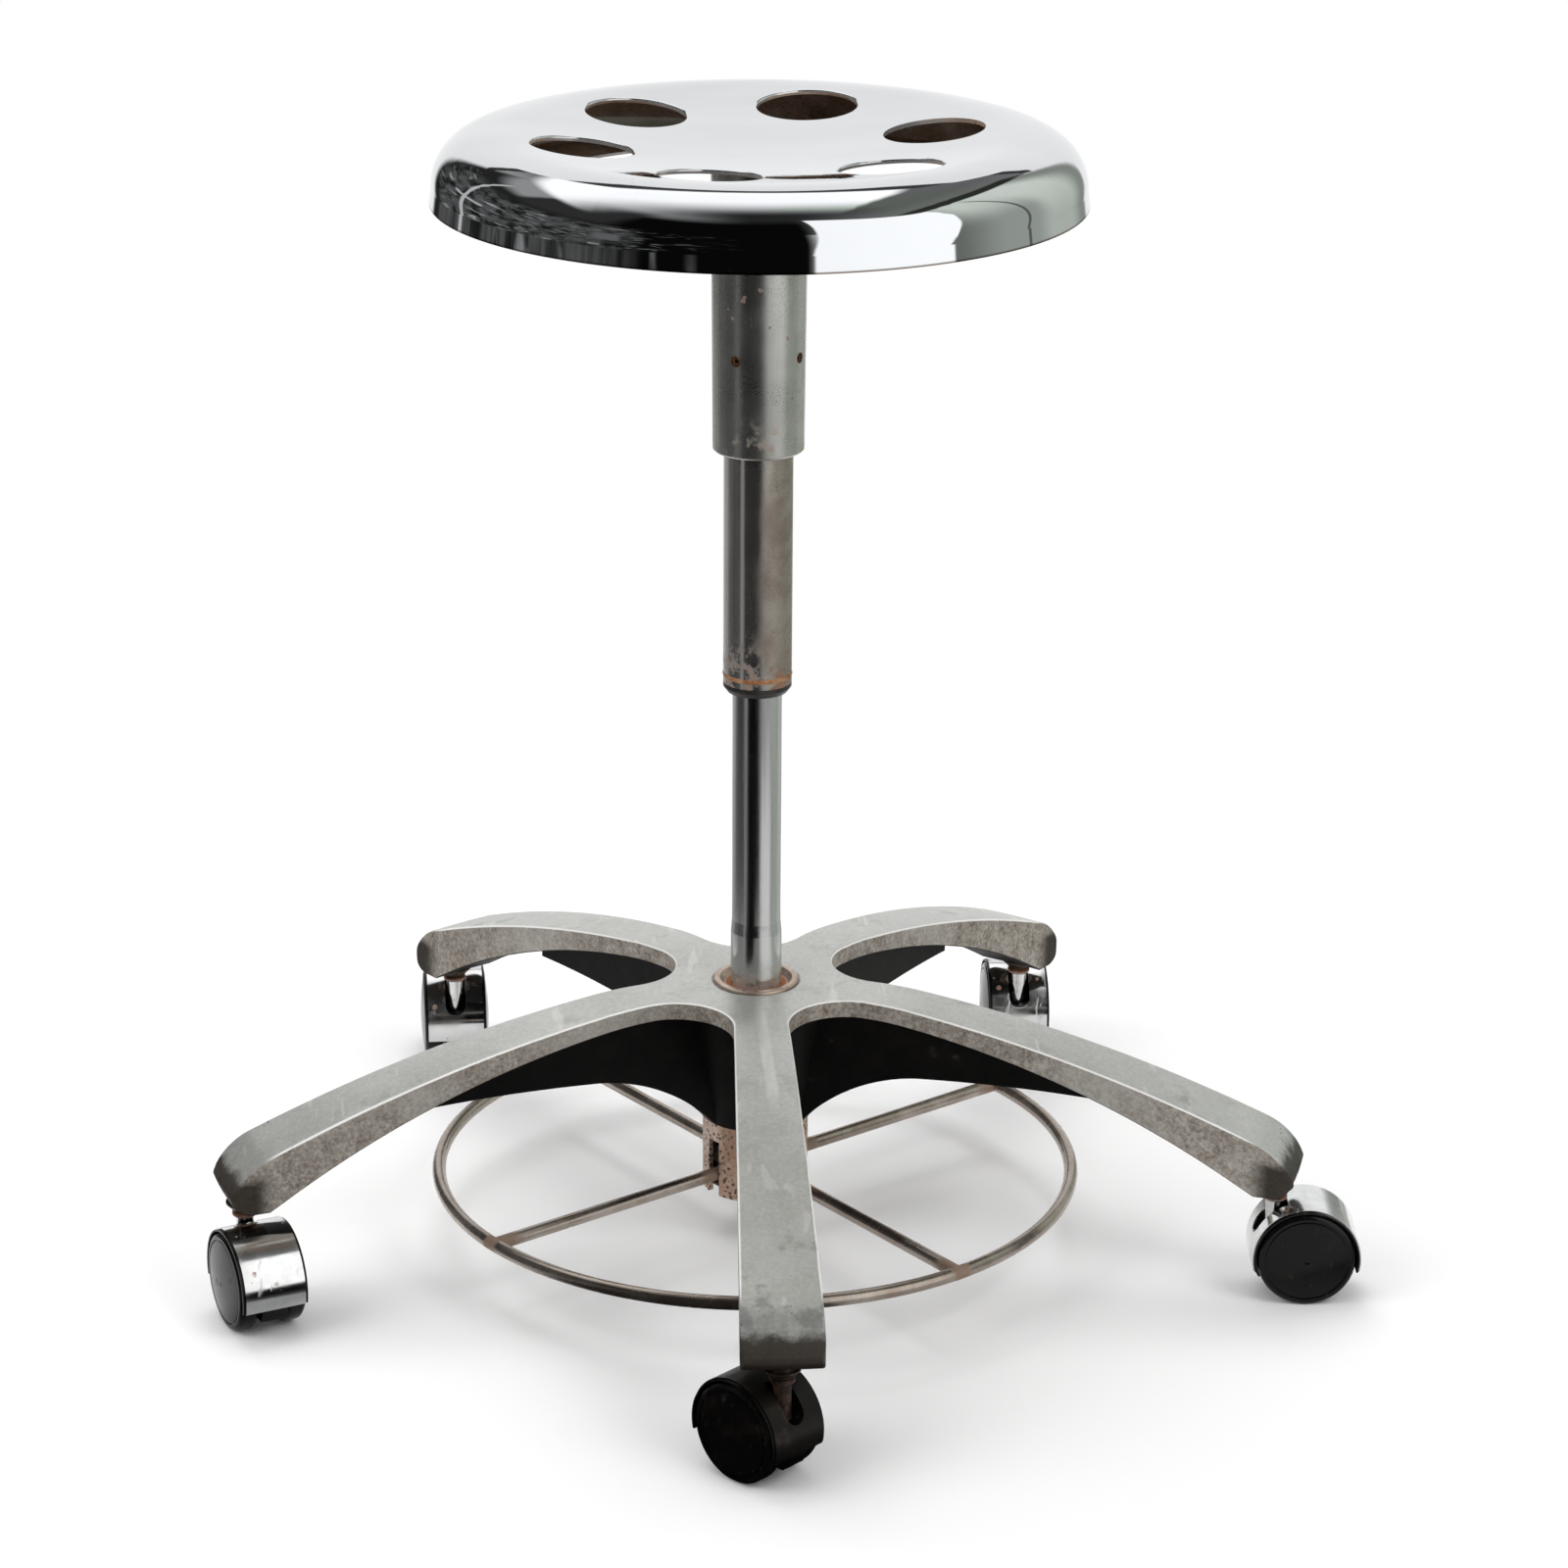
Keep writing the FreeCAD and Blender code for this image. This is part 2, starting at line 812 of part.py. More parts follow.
def make_valve_pin():
    low = valve_low
    high = low + S["valve_pin_length"]
    radius = S["valve_radius"]
    return lathe("valve_pin", [(0, low, (radius, 1)), (radius, low + radius), (radius, high), (0, high)])


# Base casting

def edge_slope():
    return (S["arm_tip_width"] - S["arm_root_width"]) / 2 / S["arm_reach"]


def make_arm_plan():
    """One arm seen from above, with the inner web curves to its two neighbours."""
    half_sector = math.radians(FULL_TURN_DEG / ARM_COUNT / 2)
    sine, cosine = math.sin(half_sector), math.cos(half_sector)
    slope = edge_slope()
    stretch = (slope ** 2 + 1) ** 0.5
    root = S["arm_root_width"] / 2
    web = S["web_radius"]
    centre = (web * stretch + root) / (slope * -cosine + sine)
    near = centre - web
    near_x, near_y = near * cosine, near * sine
    meet_x = centre * cosine + web * slope / stretch
    meet_y = centre * sine - web / stretch
    corner = S["arm_corner"]
    tip = S["arm_reach"] + S["overrun"]
    side_x = tip - corner
    side_y = root + side_x * slope
    tip_y = side_y - corner
    corners = [
        (0, 0),
        (near_x, -near_y, (web, -1)),
        (meet_x, -meet_y),
        (side_x, -side_y, (corner, 1)),
        (tip, -tip_y),
        (tip, tip_y, (corner, 1)),
        (side_x, side_y),
        (meet_x, meet_y, (web, -1)),
        (near_x, near_y),
    ]
    return slab("arm_plan", "XY_Plane", corners, hub_top + S["overrun"])


def smooth_drop(name, start, first, end, slope):
    """Two arcs that leave start level, pass smoothly into each other and reach end at its slope."""
    norm = (slope ** 2 + 1) ** 0.5
    centre_z = start[1] - first
    across = end[0] - start[0]
    down = end[1] - centre_z
    spare = (across * slope + down) / norm - first
    second = derive(f"{name}_curve", (across ** 2 + down ** 2 - first ** 2) / (spare * 2))
    far_x = derive(f"{name}_centre_x", end[0] - second * slope / norm)
    far_z = derive(f"{name}_centre_z", end[1] - second / norm)
    share = derive(f"{name}_share", first / (second - first))
    join_x = derive(f"{name}_join_x", start[0] + (start[0] - far_x) * share)
    join_z = derive(f"{name}_join_z", centre_z + (centre_z - far_z) * share)
    return join_x, join_z, second


def make_strap_profile():
    """Upper and lower line of an arm, turned about the column."""
    reach = S["arm_reach"]
    flat = S["hub_flat"]
    toe = reach - S["toe_inset"]
    sole = toe - S["sole_length"]
    heel = reach - S["heel_inset"]
    brow = reach - S["brow_inset"]
    brow_norm = math.hypot(1, BROW_SLOPE_SHARE)
    nose = S["nose_radius"]
    nose_x = brow - nose * BROW_SLOPE_SHARE / brow_norm
    nose_z = brow_height - nose / brow_norm + (nose ** 2 - (reach - nose_x) ** 2) ** 0.5
    bend = S["bend_radius"]
    roof_x, roof_z, roof_curve = smooth_drop(
        "roof", (flat, hub_top), bend, (brow, brow_height), BROW_SLOPE_SHARE
    )
    heel_slope = S["heel_rise"] / (sole - heel)
    under_x, under_z, under_curve = smooth_drop(
        "under", (flat, strap_low), S["under_bend"], (heel, heel_height), heel_slope
    )
    return lathe(
        "strap_profile",
        [
            (0, strap_low),
            (flat, strap_low, (S["under_bend"], -1)),
            (under_x, under_z, (under_curve, -1)),
            (heel, heel_height),
            (sole, toe_height),
            (toe, toe_height, (S["toe_radius"], 1)),
            (reach, nose_z, (nose, 1)),
            (brow, brow_height, (roof_curve, 1)),
            (roof_x, roof_z, (bend, 1)),
            (flat, hub_top),
            (0, hub_top),
        ],
    )


def make_rib_plan():
    root = S["rib_root_width"] / 2
    tip = S["rib_tip_width"] / 2
    reach = S["arm_reach"] - S["rib_inset"] + S["overrun"]
    corners = [(0, -root), (reach, -tip), (reach, tip), (0, root)]
    return slab("rib_plan", "XY_Plane", corners, hub_top)


def make_rib_profile():
    reach = S["arm_reach"] - S["rib_inset"]
    tip_low = hub_top - S["rib_tip_drop"]
    return lathe(
        "rib_profile",
        [
            (0, boss_bottom),
            (S["boss_radius"], boss_bottom, (S["rib_throat"], -1)),
            (S["rib_mid_reach"], hub_top - S["rib_mid_drop"], (S["rib_curve"], -1)),
            (reach, tip_low),
            (reach, tip_low + S["rib_end_height"]),
            (S["rib_neck_reach"], hub_top - S["rib_neck_drop"]),
            (0, strap_low + S["rib_bite"]),
        ],
    )


def make_boss_form():
    """The flared boss that runs down from the hub to the release sleeve."""
    flare = S["boss_radius"] + S["hub_thickness"]
    return lathe(
        "boss_form",
        [
            (0, boss_bottom),
            (S["boss_radius"], boss_bottom),
            (flare, strap_low),
            (flare, strap_low + S["rib_bite"]),
            (0, strap_low + S["rib_bite"]),
        ],
    )


def five_arms(name, source):
    arms = []
    for index in range(ARM_COUNT):
        spin = turn_z(-QUARTER_TURN_DEG + index * FULL_TURN_DEG / ARM_COUNT)
        arms.append(copy_of(f"{name}_{index + 1}", source, FreeCAD.Placement(FreeCAD.Vector(), spin)))
    return fuse(name, *arms)


def is_upright(face):
    """True for a face that stands straight up: a flat side, or a round one about an upright axis."""
    surface = face.Surface
    if isinstance(surface, Part.Plane):
        return math.isclose(surface.Axis.z, 0, abs_tol=ALIGNED_SHARE)
    if isinstance(surface, Part.Cylinder):
        return math.isclose(abs(surface.Axis.z), 1, abs_tol=ALIGNED_SHARE)
    return False


def is_arm_edge(edge, shape):
    """True where an upright side of an arm meets its upper or lower face."""
    sides = [is_upright(face) for face in shape.ancestorsOfType(edge, Part.Face)]
    return len(sides) == 2 and sides[0] != sides[1]


def make_star_base():
    straps = common("straps", five_arms("strap_plans", make_arm_plan()), make_strap_profile())
    soft_straps = rounded("straps_rounded", straps, S["arm_round"], is_arm_edge)
    ribs = common("ribs", five_arms("rib_plans", make_rib_plan()), make_rib_profile())
    casting = fuse("casting", soft_straps, ribs, make_boss_form())
    holes = [
        rod(
            "hub_bore",
            S["collar_radius"] + S["seat_gap"],
            hub_top + S["overrun"] - boss_bottom + S["overrun"],
            z=boss_bottom - S["overrun"],
        )
    ]
    for index in range(ARM_COUNT):
        x, y = polar(stem_reach, -QUARTER_TURN_DEG + index * FULL_TURN_DEG / ARM_COUNT)
        holes.append(
            rod(
                f"tip_hole_{index + 1}",
                S["tip_socket_radius"] + S["seat_gap"],
                S["tip_socket_depth"] + S["seat_gap"] + S["overrun"],
                x,
                y,
                toe_height - S["overrun"],
            )
        )
    return cut("star_base", casting, *holes)


def make_hub_collar():
    """Steel insert that the pressure tube's cone wedges into, with its rounded lip on top."""
    outer = S["collar_radius"]
    top = hub_top + S["collar_stand"]
    low = boss_bottom + S["seat_gap"]
    gap = S["seat_gap"]
    lip = S["collar_round"]
    swell = tube_swell_radius + gap
    drop = hub_top - S["collar_dish"] / 2
    fall = (tube_swell_radius - cone_low_radius) / (hub_top - tube_low)
    foot = cone_low_radius + gap - fall * (tube_low - low)
    return lathe(
        "hub_collar",
        [
            (foot, low),
            (outer, low),
            (outer, top - lip, (lip, 1)),
            (outer - lip, top),
            (outer - S["collar_dish"], top),
            (swell + S["collar_dish"], drop),
            (swell - fall * (S["collar_dish"] / 2), drop),
        ],
    )


def make_release_sleeve():
    outer = S["sleeve_radius"]
    inner = outer - S["sleeve_wall"]
    top = boss_bottom - S["seat_gap"]
    mouth = cone_low_radius
    groove_low = snap_low - S["seat_gap"]
    groove_high = snap_low + S["snap_thickness"] + S["seat_gap"]
    groove = inner + S["snap_seat_depth"]
    body = lathe(
        "sleeve_form",
        [
            (inner, sleeve_bottom),
            (outer, sleeve_bottom),
            (outer, top),
            (mouth, top),
            (mouth, top - S["sleeve_roof"]),
            (inner, top - S["sleeve_roof"]),
            (inner, groove_high),
            (groove, groove_high),
            (groove, groove_low),
            (inner, groove_low),
        ],
    )
    slots = []
    for index in range(SPOKE_COUNT):
        slot = doc.addObject("Part::Box", f"sleeve_slot_{index + 1}")
        bind(slot, "Length", outer + S["overrun"])
        bind(slot, "Width", S["slot_width"])
        bind(slot, "Height", slot_top - sleeve_bottom + S["overrun"])
        azimuth = FIRST_SPOKE_DEG + index * FULL_TURN_DEG / SPOKE_COUNT
        across_x, across_y = polar(S["slot_width"] / 2, azimuth - QUARTER_TURN_DEG)
        place(slot, across_x, across_y, sleeve_bottom - S["overrun"], turn_z(azimuth))
        slots.append(slot)
    return cut("release_sleeve", body, *slots)


def make_snap_ring():
    groove = S["sleeve_radius"] - S["sleeve_wall"] + S["snap_seat_depth"]
    outer = groove - S["seat_gap"]
    return tube("snap_ring", outer, outer - S["snap_width"], snap_low, snap_low + S["snap_thickness"])


# Foot ring and its hub, which tilt together

def make_release_hub():
    low, high = disc_low, disc_high
    boss = S["hub_disc_boss"]
    bore = S["push_shank"] + S["seat_gap"]
    body = lathe(
        "release_hub_form",
        [
            (bore, low),
            (S["hub_disc_radius"], low),
            (S["hub_disc_radius"], high),
            (boss, high),
            (boss, high + S["hub_disc_boss_height"]),
            (bore, high + S["hub_disc_boss_height"]),
        ],
    )
    seats = []
    for index in range(SPOKE_COUNT):
        azimuth = FIRST_SPOKE_DEG + index * FULL_TURN_DEG / SPOKE_COUNT
        x, y = polar(S["spoke_inset"] - S["seat_gap"], azimuth)
        seats.append(
            rod(
                f"spoke_hole_{index + 1}",
                S["ring_wire"] + S["seat_gap"],
                S["hub_disc_radius"],
                x,
                y,
                ring_height,
                spoke_turn(azimuth),
            )
        )
    return cut("release_hub", body, *seats)


def spoke_turn(azimuth):
    return turn_z(azimuth).multiply(FreeCAD.Rotation(FreeCAD.Vector(0, 1, 0), QUARTER_TURN_DEG))


def make_ring(name):
    ring = doc.addObject("Part::Torus", name)
    bind(ring, "Radius1", S["ring_radius"])
    bind(ring, "Radius2", S["ring_wire"])
    return place(ring, z=ring_height)


def make_spokes():
    spokes = []
    for index in range(SPOKE_COUNT):
        azimuth = FIRST_SPOKE_DEG + index * FULL_TURN_DEG / SPOKE_COUNT
        x, y = polar(S["spoke_inset"], azimuth)
        bar = rod(
            f"spoke_{index + 1}_bar",
            S["ring_wire"],
            S["ring_radius"] - S["spoke_inset"],
            x,
            y,
            ring_height,
            spoke_turn(azimuth),
        )
        spokes.append(cut(f"spoke_{index + 1}", bar, make_ring(f"spoke_{index + 1}_saddle")))
    return group("ring_spokes", *spokes)


def make_push_screw():
    head_high = valve_low - S["push_gap"]
    head_low = head_high - S["push_head_height"]
    shank_low = disc_low - S["push_tail"]
    round_over = S["push_round"]
    return lathe(
        "push_screw",
        [
            (0, shank_low),
            (S["push_shank"], shank_low),
            (S["push_shank"], head_low),
            (S["push_head"], head_low),
            (S["push_head"], head_high - round_over),
            (S["push_head"] - round_over, head_high),
            (0, head_high),
        ],
    )


def make_push_nut():
    low = disc_high + S["hub_disc_boss_height"] + S["seat_gap"]
    nut = doc.addObject("Part::Prism", "push_nut_form")
    nut.Polygon = HEX_SIDES
    bind(nut, "Circumradius", S["push_nut_apothem"] / math.cos(math.pi / HEX_SIDES))
    bind(nut, "Height", S["push_nut_height"])
    place(nut, z=low)
    bore = rod("push_nut_bore", S["push_shank"] + S["seat_gap"], S["push_nut_height"], z=low)
    return cut("push_nut", nut, bore)


# Casters, in a frame with the stem on Z and the axle along Y behind it

def arch_height():
    return S["wheel_radius"] - S["fender_drop"]


def arch_ends():
    """Half width of the arch at the height where its tails end."""
    return S["wheel_radius"] - S["fender_tail"]


def arch_blank(name, radius, half):
    """A drum about the axle, cut level at the arch's tails."""
    turned = FreeCAD.Rotation(FreeCAD.Vector(1, 0, 0), QUARTER_TURN_DEG)
    return rod(name, radius, half * 2, S["trail"], half, arch_height(), turned)


def above(name, level):
    """Everything over a level, as wide as a caster."""
    span = fender_radius * 2 + S["overrun"] * 2
    block = doc.addObject("Part::Box", name)
    bind(block, "Length", span)
    bind(block, "Width", span)
    bind(block, "Height", span)
    return place(block, S["trail"] - span / 2, -span / 2, level)


def make_notch(name):
    """The upright slot that lets the stem into the cover from its front."""
    half = S["notch_half"]
    reach = fender_radius + S["overrun"] - S["trail"]
    top = S["wheel_radius"] + fender_radius + S["overrun"]
    low = notch_bottom
    corners = [
        (-half, low + half, (half, 1)),
        (0, low, (half, 1)),
        (half, low + half),
        (half, top),
        (-half, top),
    ]
    slot = slab(name, "YZ_Plane", corners, reach + S["notch_back"] + S["overrun"])
    return place(slot, x=-reach - S["overrun"])


def make_cover():
    outer = fender_radius + S["cover_gauge"]
    inner = fender_radius + S["seat_gap"]
    drum = arch_blank("cover_drum", outer, S["cover_half"])
    hollow = arch_blank("cover_hollow", inner, S["cover_half"] + S["overrun"])
    shell = cut("cover_shell", drum, hollow)
    arch = common("cover_arch", shell, above("cover_span", arch_ends()))
    return cut("cover_form", arch, make_notch("cover_notch"))


def make_fender():
    outer = fender_radius
    inner = outer - S["fender_wall"]
    drum = arch_blank("fender_drum", outer, S["fender_half"])
    hollow = arch_blank("fender_hollow", inner, S["fender_half"] + S["overrun"])
    shell = common("fender_arch", cut("fender_shell", drum, hollow), above("fender_span", arch_ends()))
    middle = arch_blank("fender_middle", outer - S["seat_gap"], S["web_half"])
    web = common("fender_web", middle, above("fender_web_span", S["wheel_radius"] - S["web_drop"]))
    solid = fuse("fender_solid", shell, web)
    turned = FreeCAD.Rotation(FreeCAD.Vector(1, 0, 0), QUARTER_TURN_DEG)
    width = S["web_half"] + S["overrun"]
    axle_bore = rod(
        "fender_axle_bore",
        S["axle_radius"] + S["seat_gap"],
        width * 2,
        S["trail"],
        width,
        S["wheel_radius"],
        turned,
    )
    stem_bore = rod("fender_stem_bore", S["stem_radius"] + S["seat_gap"], notch_bottom, z=stem_foot)
    return cut("fender_form", solid, axle_bore, stem_bore, make_notch("fender_notch"))


def make_stem():
    """Pin with its collar, which stands on the caster and turns in the arm's socket."""
    pin = S["stem_radius"]
    collar = S["stem_collar"]
    flange_low = toe_height - S["tip_flange_height"]
    high = flange_low - S["tip_groove"]
    low = high - S["stem_collar_height"]
    top = toe_height + S["tip_socket_depth"] - S["stem_top_depth"]
    soft = S["stem_collar_round"]
    return lathe(
        "stem_form",
        [
            (0, stem_foot),
            (pin, stem_foot),
            (pin, low),
            (collar - soft, low),
            (collar, low + soft),
            (collar, high - soft),
            (collar - soft, high),
            (pin, high),
            (pin, top - soft),
            (pin - soft, top),
            (0, top),
        ],
    )


def make_tip_sockets():
    """Flanged steel sockets pressed up into the tips of the arms."""
    bore = S["stem_radius"] + S["running_gap"]
    base = toe_height - S["tip_flange_height"]
    face = toe_height - S["seat_gap"]
    form = lathe(
        "tip_socket_form",
        [
            (bore, base),
            (S["tip_flange_low"], base),
            (S["tip_flange"], face - S["tip_flange_edge"]),
            (S["tip_flange"], face),
            (S["tip_socket_radius"], face),
            (S["tip_socket_radius"], toe_height + S["tip_socket_depth"]),
            (bore, toe_height + S["tip_socket_depth"]),
        ],
    )
    sockets = []
    for index in range(ARM_COUNT):
        x, y = polar(stem_reach, -QUARTER_TURN_DEG + index * FULL_TURN_DEG / ARM_COUNT)
        spot = FreeCAD.Placement(FreeCAD.Vector(number(x), number(y), 0), FreeCAD.Rotation())
        sockets.append(copy_of(f"tip_socket_{index + 1}", form, spot))
    return group("tip_sockets", *sockets)


def make_axle():
    turned = FreeCAD.Rotation(FreeCAD.Vector(1, 0, 0), QUARTER_TURN_DEG)
    end = S["axle_end"]
    return rod("axle_form", S["axle_radius"], end * 2, S["trail"], end, S["wheel_radius"], turned)


def make_wheel():
    """A wheel turned about Z, its inner face down at the wheel_inner height."""
    rim = S["wheel_radius"]
    bore = S["axle_radius"] + S["running_gap"]
    inner = S["wheel_inner"]
    outer = S["wheel_outer"]
    soft = S["wheel_round"]
    groove = S["wheel_groove"]
    cavity_top = outer - S["wheel_web"]
    dome_rise = S["wheel_dome"] - outer
    cap_rim = rim - S["rim_inset"]
    cavity = rim - S["tread_wall"]
    dome_reach = cap_rim - groove
    dome_radius = (dome_reach ** 2 + dome_rise ** 2) / (dome_rise * 2)
    axle_top = S["axle_end"] + S["thrust_gap"]
    return lathe(
        "wheel_form",
        [
            (bore, inner),
            (S["wheel_hub"], inner),
            (S["wheel_hub"], cavity_top),
            (cavity, cavity_top),
            (cavity, inner),
            (rim - soft, inner, (soft, 1)),
            (rim, inner + soft),
            (rim, outer - soft, (soft, 1)),
            (rim - soft, outer),
            (cap_rim, outer),
            (cap_rim, outer - groove),
            (dome_reach, outer - groove),
            (dome_reach, outer, (dome_radius, 1)),
            (0, S["wheel_dome"]),
            (0, axle_top),
            (bore, axle_top),
        ],
    )


def make_casters():
    """Five casters, each standing under its arm at its own swivel."""
    forms = {
        "stem": make_stem(),
        "cover": make_cover(),
        "fender": make_fender(),
        "axle": make_axle(),
    }
    wheel = make_wheel()
    nodes = []
    for index, where in enumerate(CASTER_NAMES):
        x, y = polar(stem_reach, -QUARTER_TURN_DEG + index * FULL_TURN_DEG / ARM_COUNT)
        spot = FreeCAD.Placement(
            FreeCAD.Vector(number(x), number(y), 0), turn_z(SWIVEL_DEG[index])
        )
        for kind, form in forms.items():
            nodes.append(copy_of(f"{where}_caster_{kind}", form, spot))
        for side, sign in (("left", 1), ("right", -1)):
            lay = FreeCAD.Rotation(FreeCAD.Vector(1, 0, 0), -QUARTER_TURN_DEG * sign)
            hub = FreeCAD.Vector(number(S["trail"]), 0, number(S["wheel_radius"]))
            stand = spot.multiply(FreeCAD.Placement(hub, lay))
            nodes.append(copy_of(f"{where}_caster_wheel_{side}", wheel, stand))
    return nodes


def check_document():
    for feature in doc.Objects:
        if "Invalid" in feature.State or "Error" in feature.State:
            raise RuntimeError(f"{feature.Name} failed: {feature.State}")


def write_node(node):
    shape = node.Shape
    if shape.isNull() or not shape.isValid() or not shape.Solids:
        raise RuntimeError(f"{node.Label} has no valid solid")
    solids = shape.Solids
    kept = solids[0] if len(solids) == 1 else Part.makeCompound(solids)
    kept.exportStep(f"parts/{node.Label}.step")
    print(f"{node.Label}: {len(solids)} solid(s), {shape.Volume:.1f} mm3")


def main():
    nodes = [
        make_seat_shell(),
        make_seat_plate(),
        make_seat_socket(),
        make_grub_screws(),
        make_guide_tube(),
        make_wiper_ring(),
        make_guide_bush(),
        make_guide_cap(),
        make_thrust_washer(),
        make_rod_clip(),
        make_piston_rod(),
        make_piston(),
        make_pressure_tube(),
        make_rod_guide(),
        make_slide_ring(),
        make_valve_body(),
        make_valve_pin(),
        make_star_base(),
        make_hub_collar(),
        make_release_sleeve(),
        make_snap_ring(),
        make_tip_sockets(),
        make_release_hub(),
        make_ring("foot_ring"),
        make_spokes(),
        make_push_screw(),
        make_push_nut(),
        *make_casters(),
    ]
    doc.recompute()
    check_document()
    os.makedirs("parts", exist_ok=True)
    for node in nodes:
        write_node(node)


main()
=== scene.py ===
import json
import math

import bpy
from mathutils import Matrix, Vector

# Looks of the medical stool: procedural materials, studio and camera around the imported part.
#
# Lengths are in metres, colours in linear RGB. Object coordinates are those of the packed
# part: origin on the floor under the column, +Z up, the front arm of the base along -Y.

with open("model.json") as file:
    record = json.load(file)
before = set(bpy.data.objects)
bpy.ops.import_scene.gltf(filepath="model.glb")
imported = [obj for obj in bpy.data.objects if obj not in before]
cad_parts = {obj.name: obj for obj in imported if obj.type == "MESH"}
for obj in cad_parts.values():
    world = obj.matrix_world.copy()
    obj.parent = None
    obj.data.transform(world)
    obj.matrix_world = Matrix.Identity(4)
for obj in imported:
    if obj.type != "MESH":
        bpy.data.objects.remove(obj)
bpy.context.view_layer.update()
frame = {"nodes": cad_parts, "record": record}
nodes = frame["nodes"]

# Ranges of a noise's values between which a look fades from one state to the other
NOISE_WIDE = (0.30, 0.70)
NOISE_MID = (0.35, 0.70)

# Where looks change on the part. A mask is 0 at the first of a pair and 1 at the second.
# Distances from the column's line
HOLES_END = (0.135, 0.130)
SHOULDER_START = (0.150, 0.160)
SEAT_EDGE_REACH = (0.172, 0.175)
COLLAR_NEAR_TUBE = (0.0205, 0.0152)
COLLAR_SEAM = (0.0262, 0.0250)
COLLAR_OUTSIDE = (0.0255, 0.027)
RIBS_END = (0.206, 0.200)
ARM_LOWERS = (0.20, 0.285)
ARM_PITTED = (0.255, 0.300)
ARM_EDGES_END = (0.300, 0.288)
TOE_START = (0.290, 0.305)
SPOKE_OUTER_END = (0.160, 0.180)
SPOKE_INNER_END = (0.050, 0.034)
# Heights
HEM_TOP = (0.6150, 0.6142)
SEAT_EDGE_HEIGHT = (0.6134, 0.6124)
HOLE_WALL_TOP = (0.6232, 0.6218)
HOLE_WALL_FOOT = (0.6150, 0.6165)
SOCKET_FOOT = (0.500, 0.474)
GUIDE_TUBE_FOOT = (0.375, 0.340)
PRESSURE_TUBE_FOOT = (0.172, 0.158)
TOE_HEIGHT = (0.097, 0.078)
STEM_COLLAR = (0.0570, 0.0600)
# Places along X or Y
HOLE_WALL_LEFT = (-0.022, -0.034)
STREAK_HALF_WIDTH = (0.0042, 0.0022)
STREAK_FRONT = (-0.155, -0.135)
STREAK_BACK = (-0.030, -0.060)
FRONT_CASTER_Y = (-0.27, -0.29)
FRONT_CASTER_X = (0.09, 0.07)

# The top edge of the light painted on the hole wall leans by a slope about a line at X, the
# front arm's streak by a slope about a line at Y
HOLE_WALL_X, HOLE_WALL_SLOPE = -0.045, 0.10
STREAK_Y, STREAK_SLOPE = -0.06, 0.035

# One weld of the foot ring lies at this turn, the others at right angles to it
WELD_TURN = math.radians(35.0)

# Height of the straps' underside at distances from the column
STRAP_LINE = (
    (0.0, 0.146), (0.062, 0.146), (0.080, 0.1452), (0.097, 0.1429), (0.115, 0.1394),
    (0.135, 0.1348), (0.160, 0.1279), (0.185, 0.1197), (0.210, 0.1102), (0.235, 0.0993),
    (0.260, 0.0869), (0.282, 0.0747), (0.296, 0.0665), (0.32, 0.0665),
)
STRAP_REACH = 0.32
STRAP_HEIGHT = 0.2


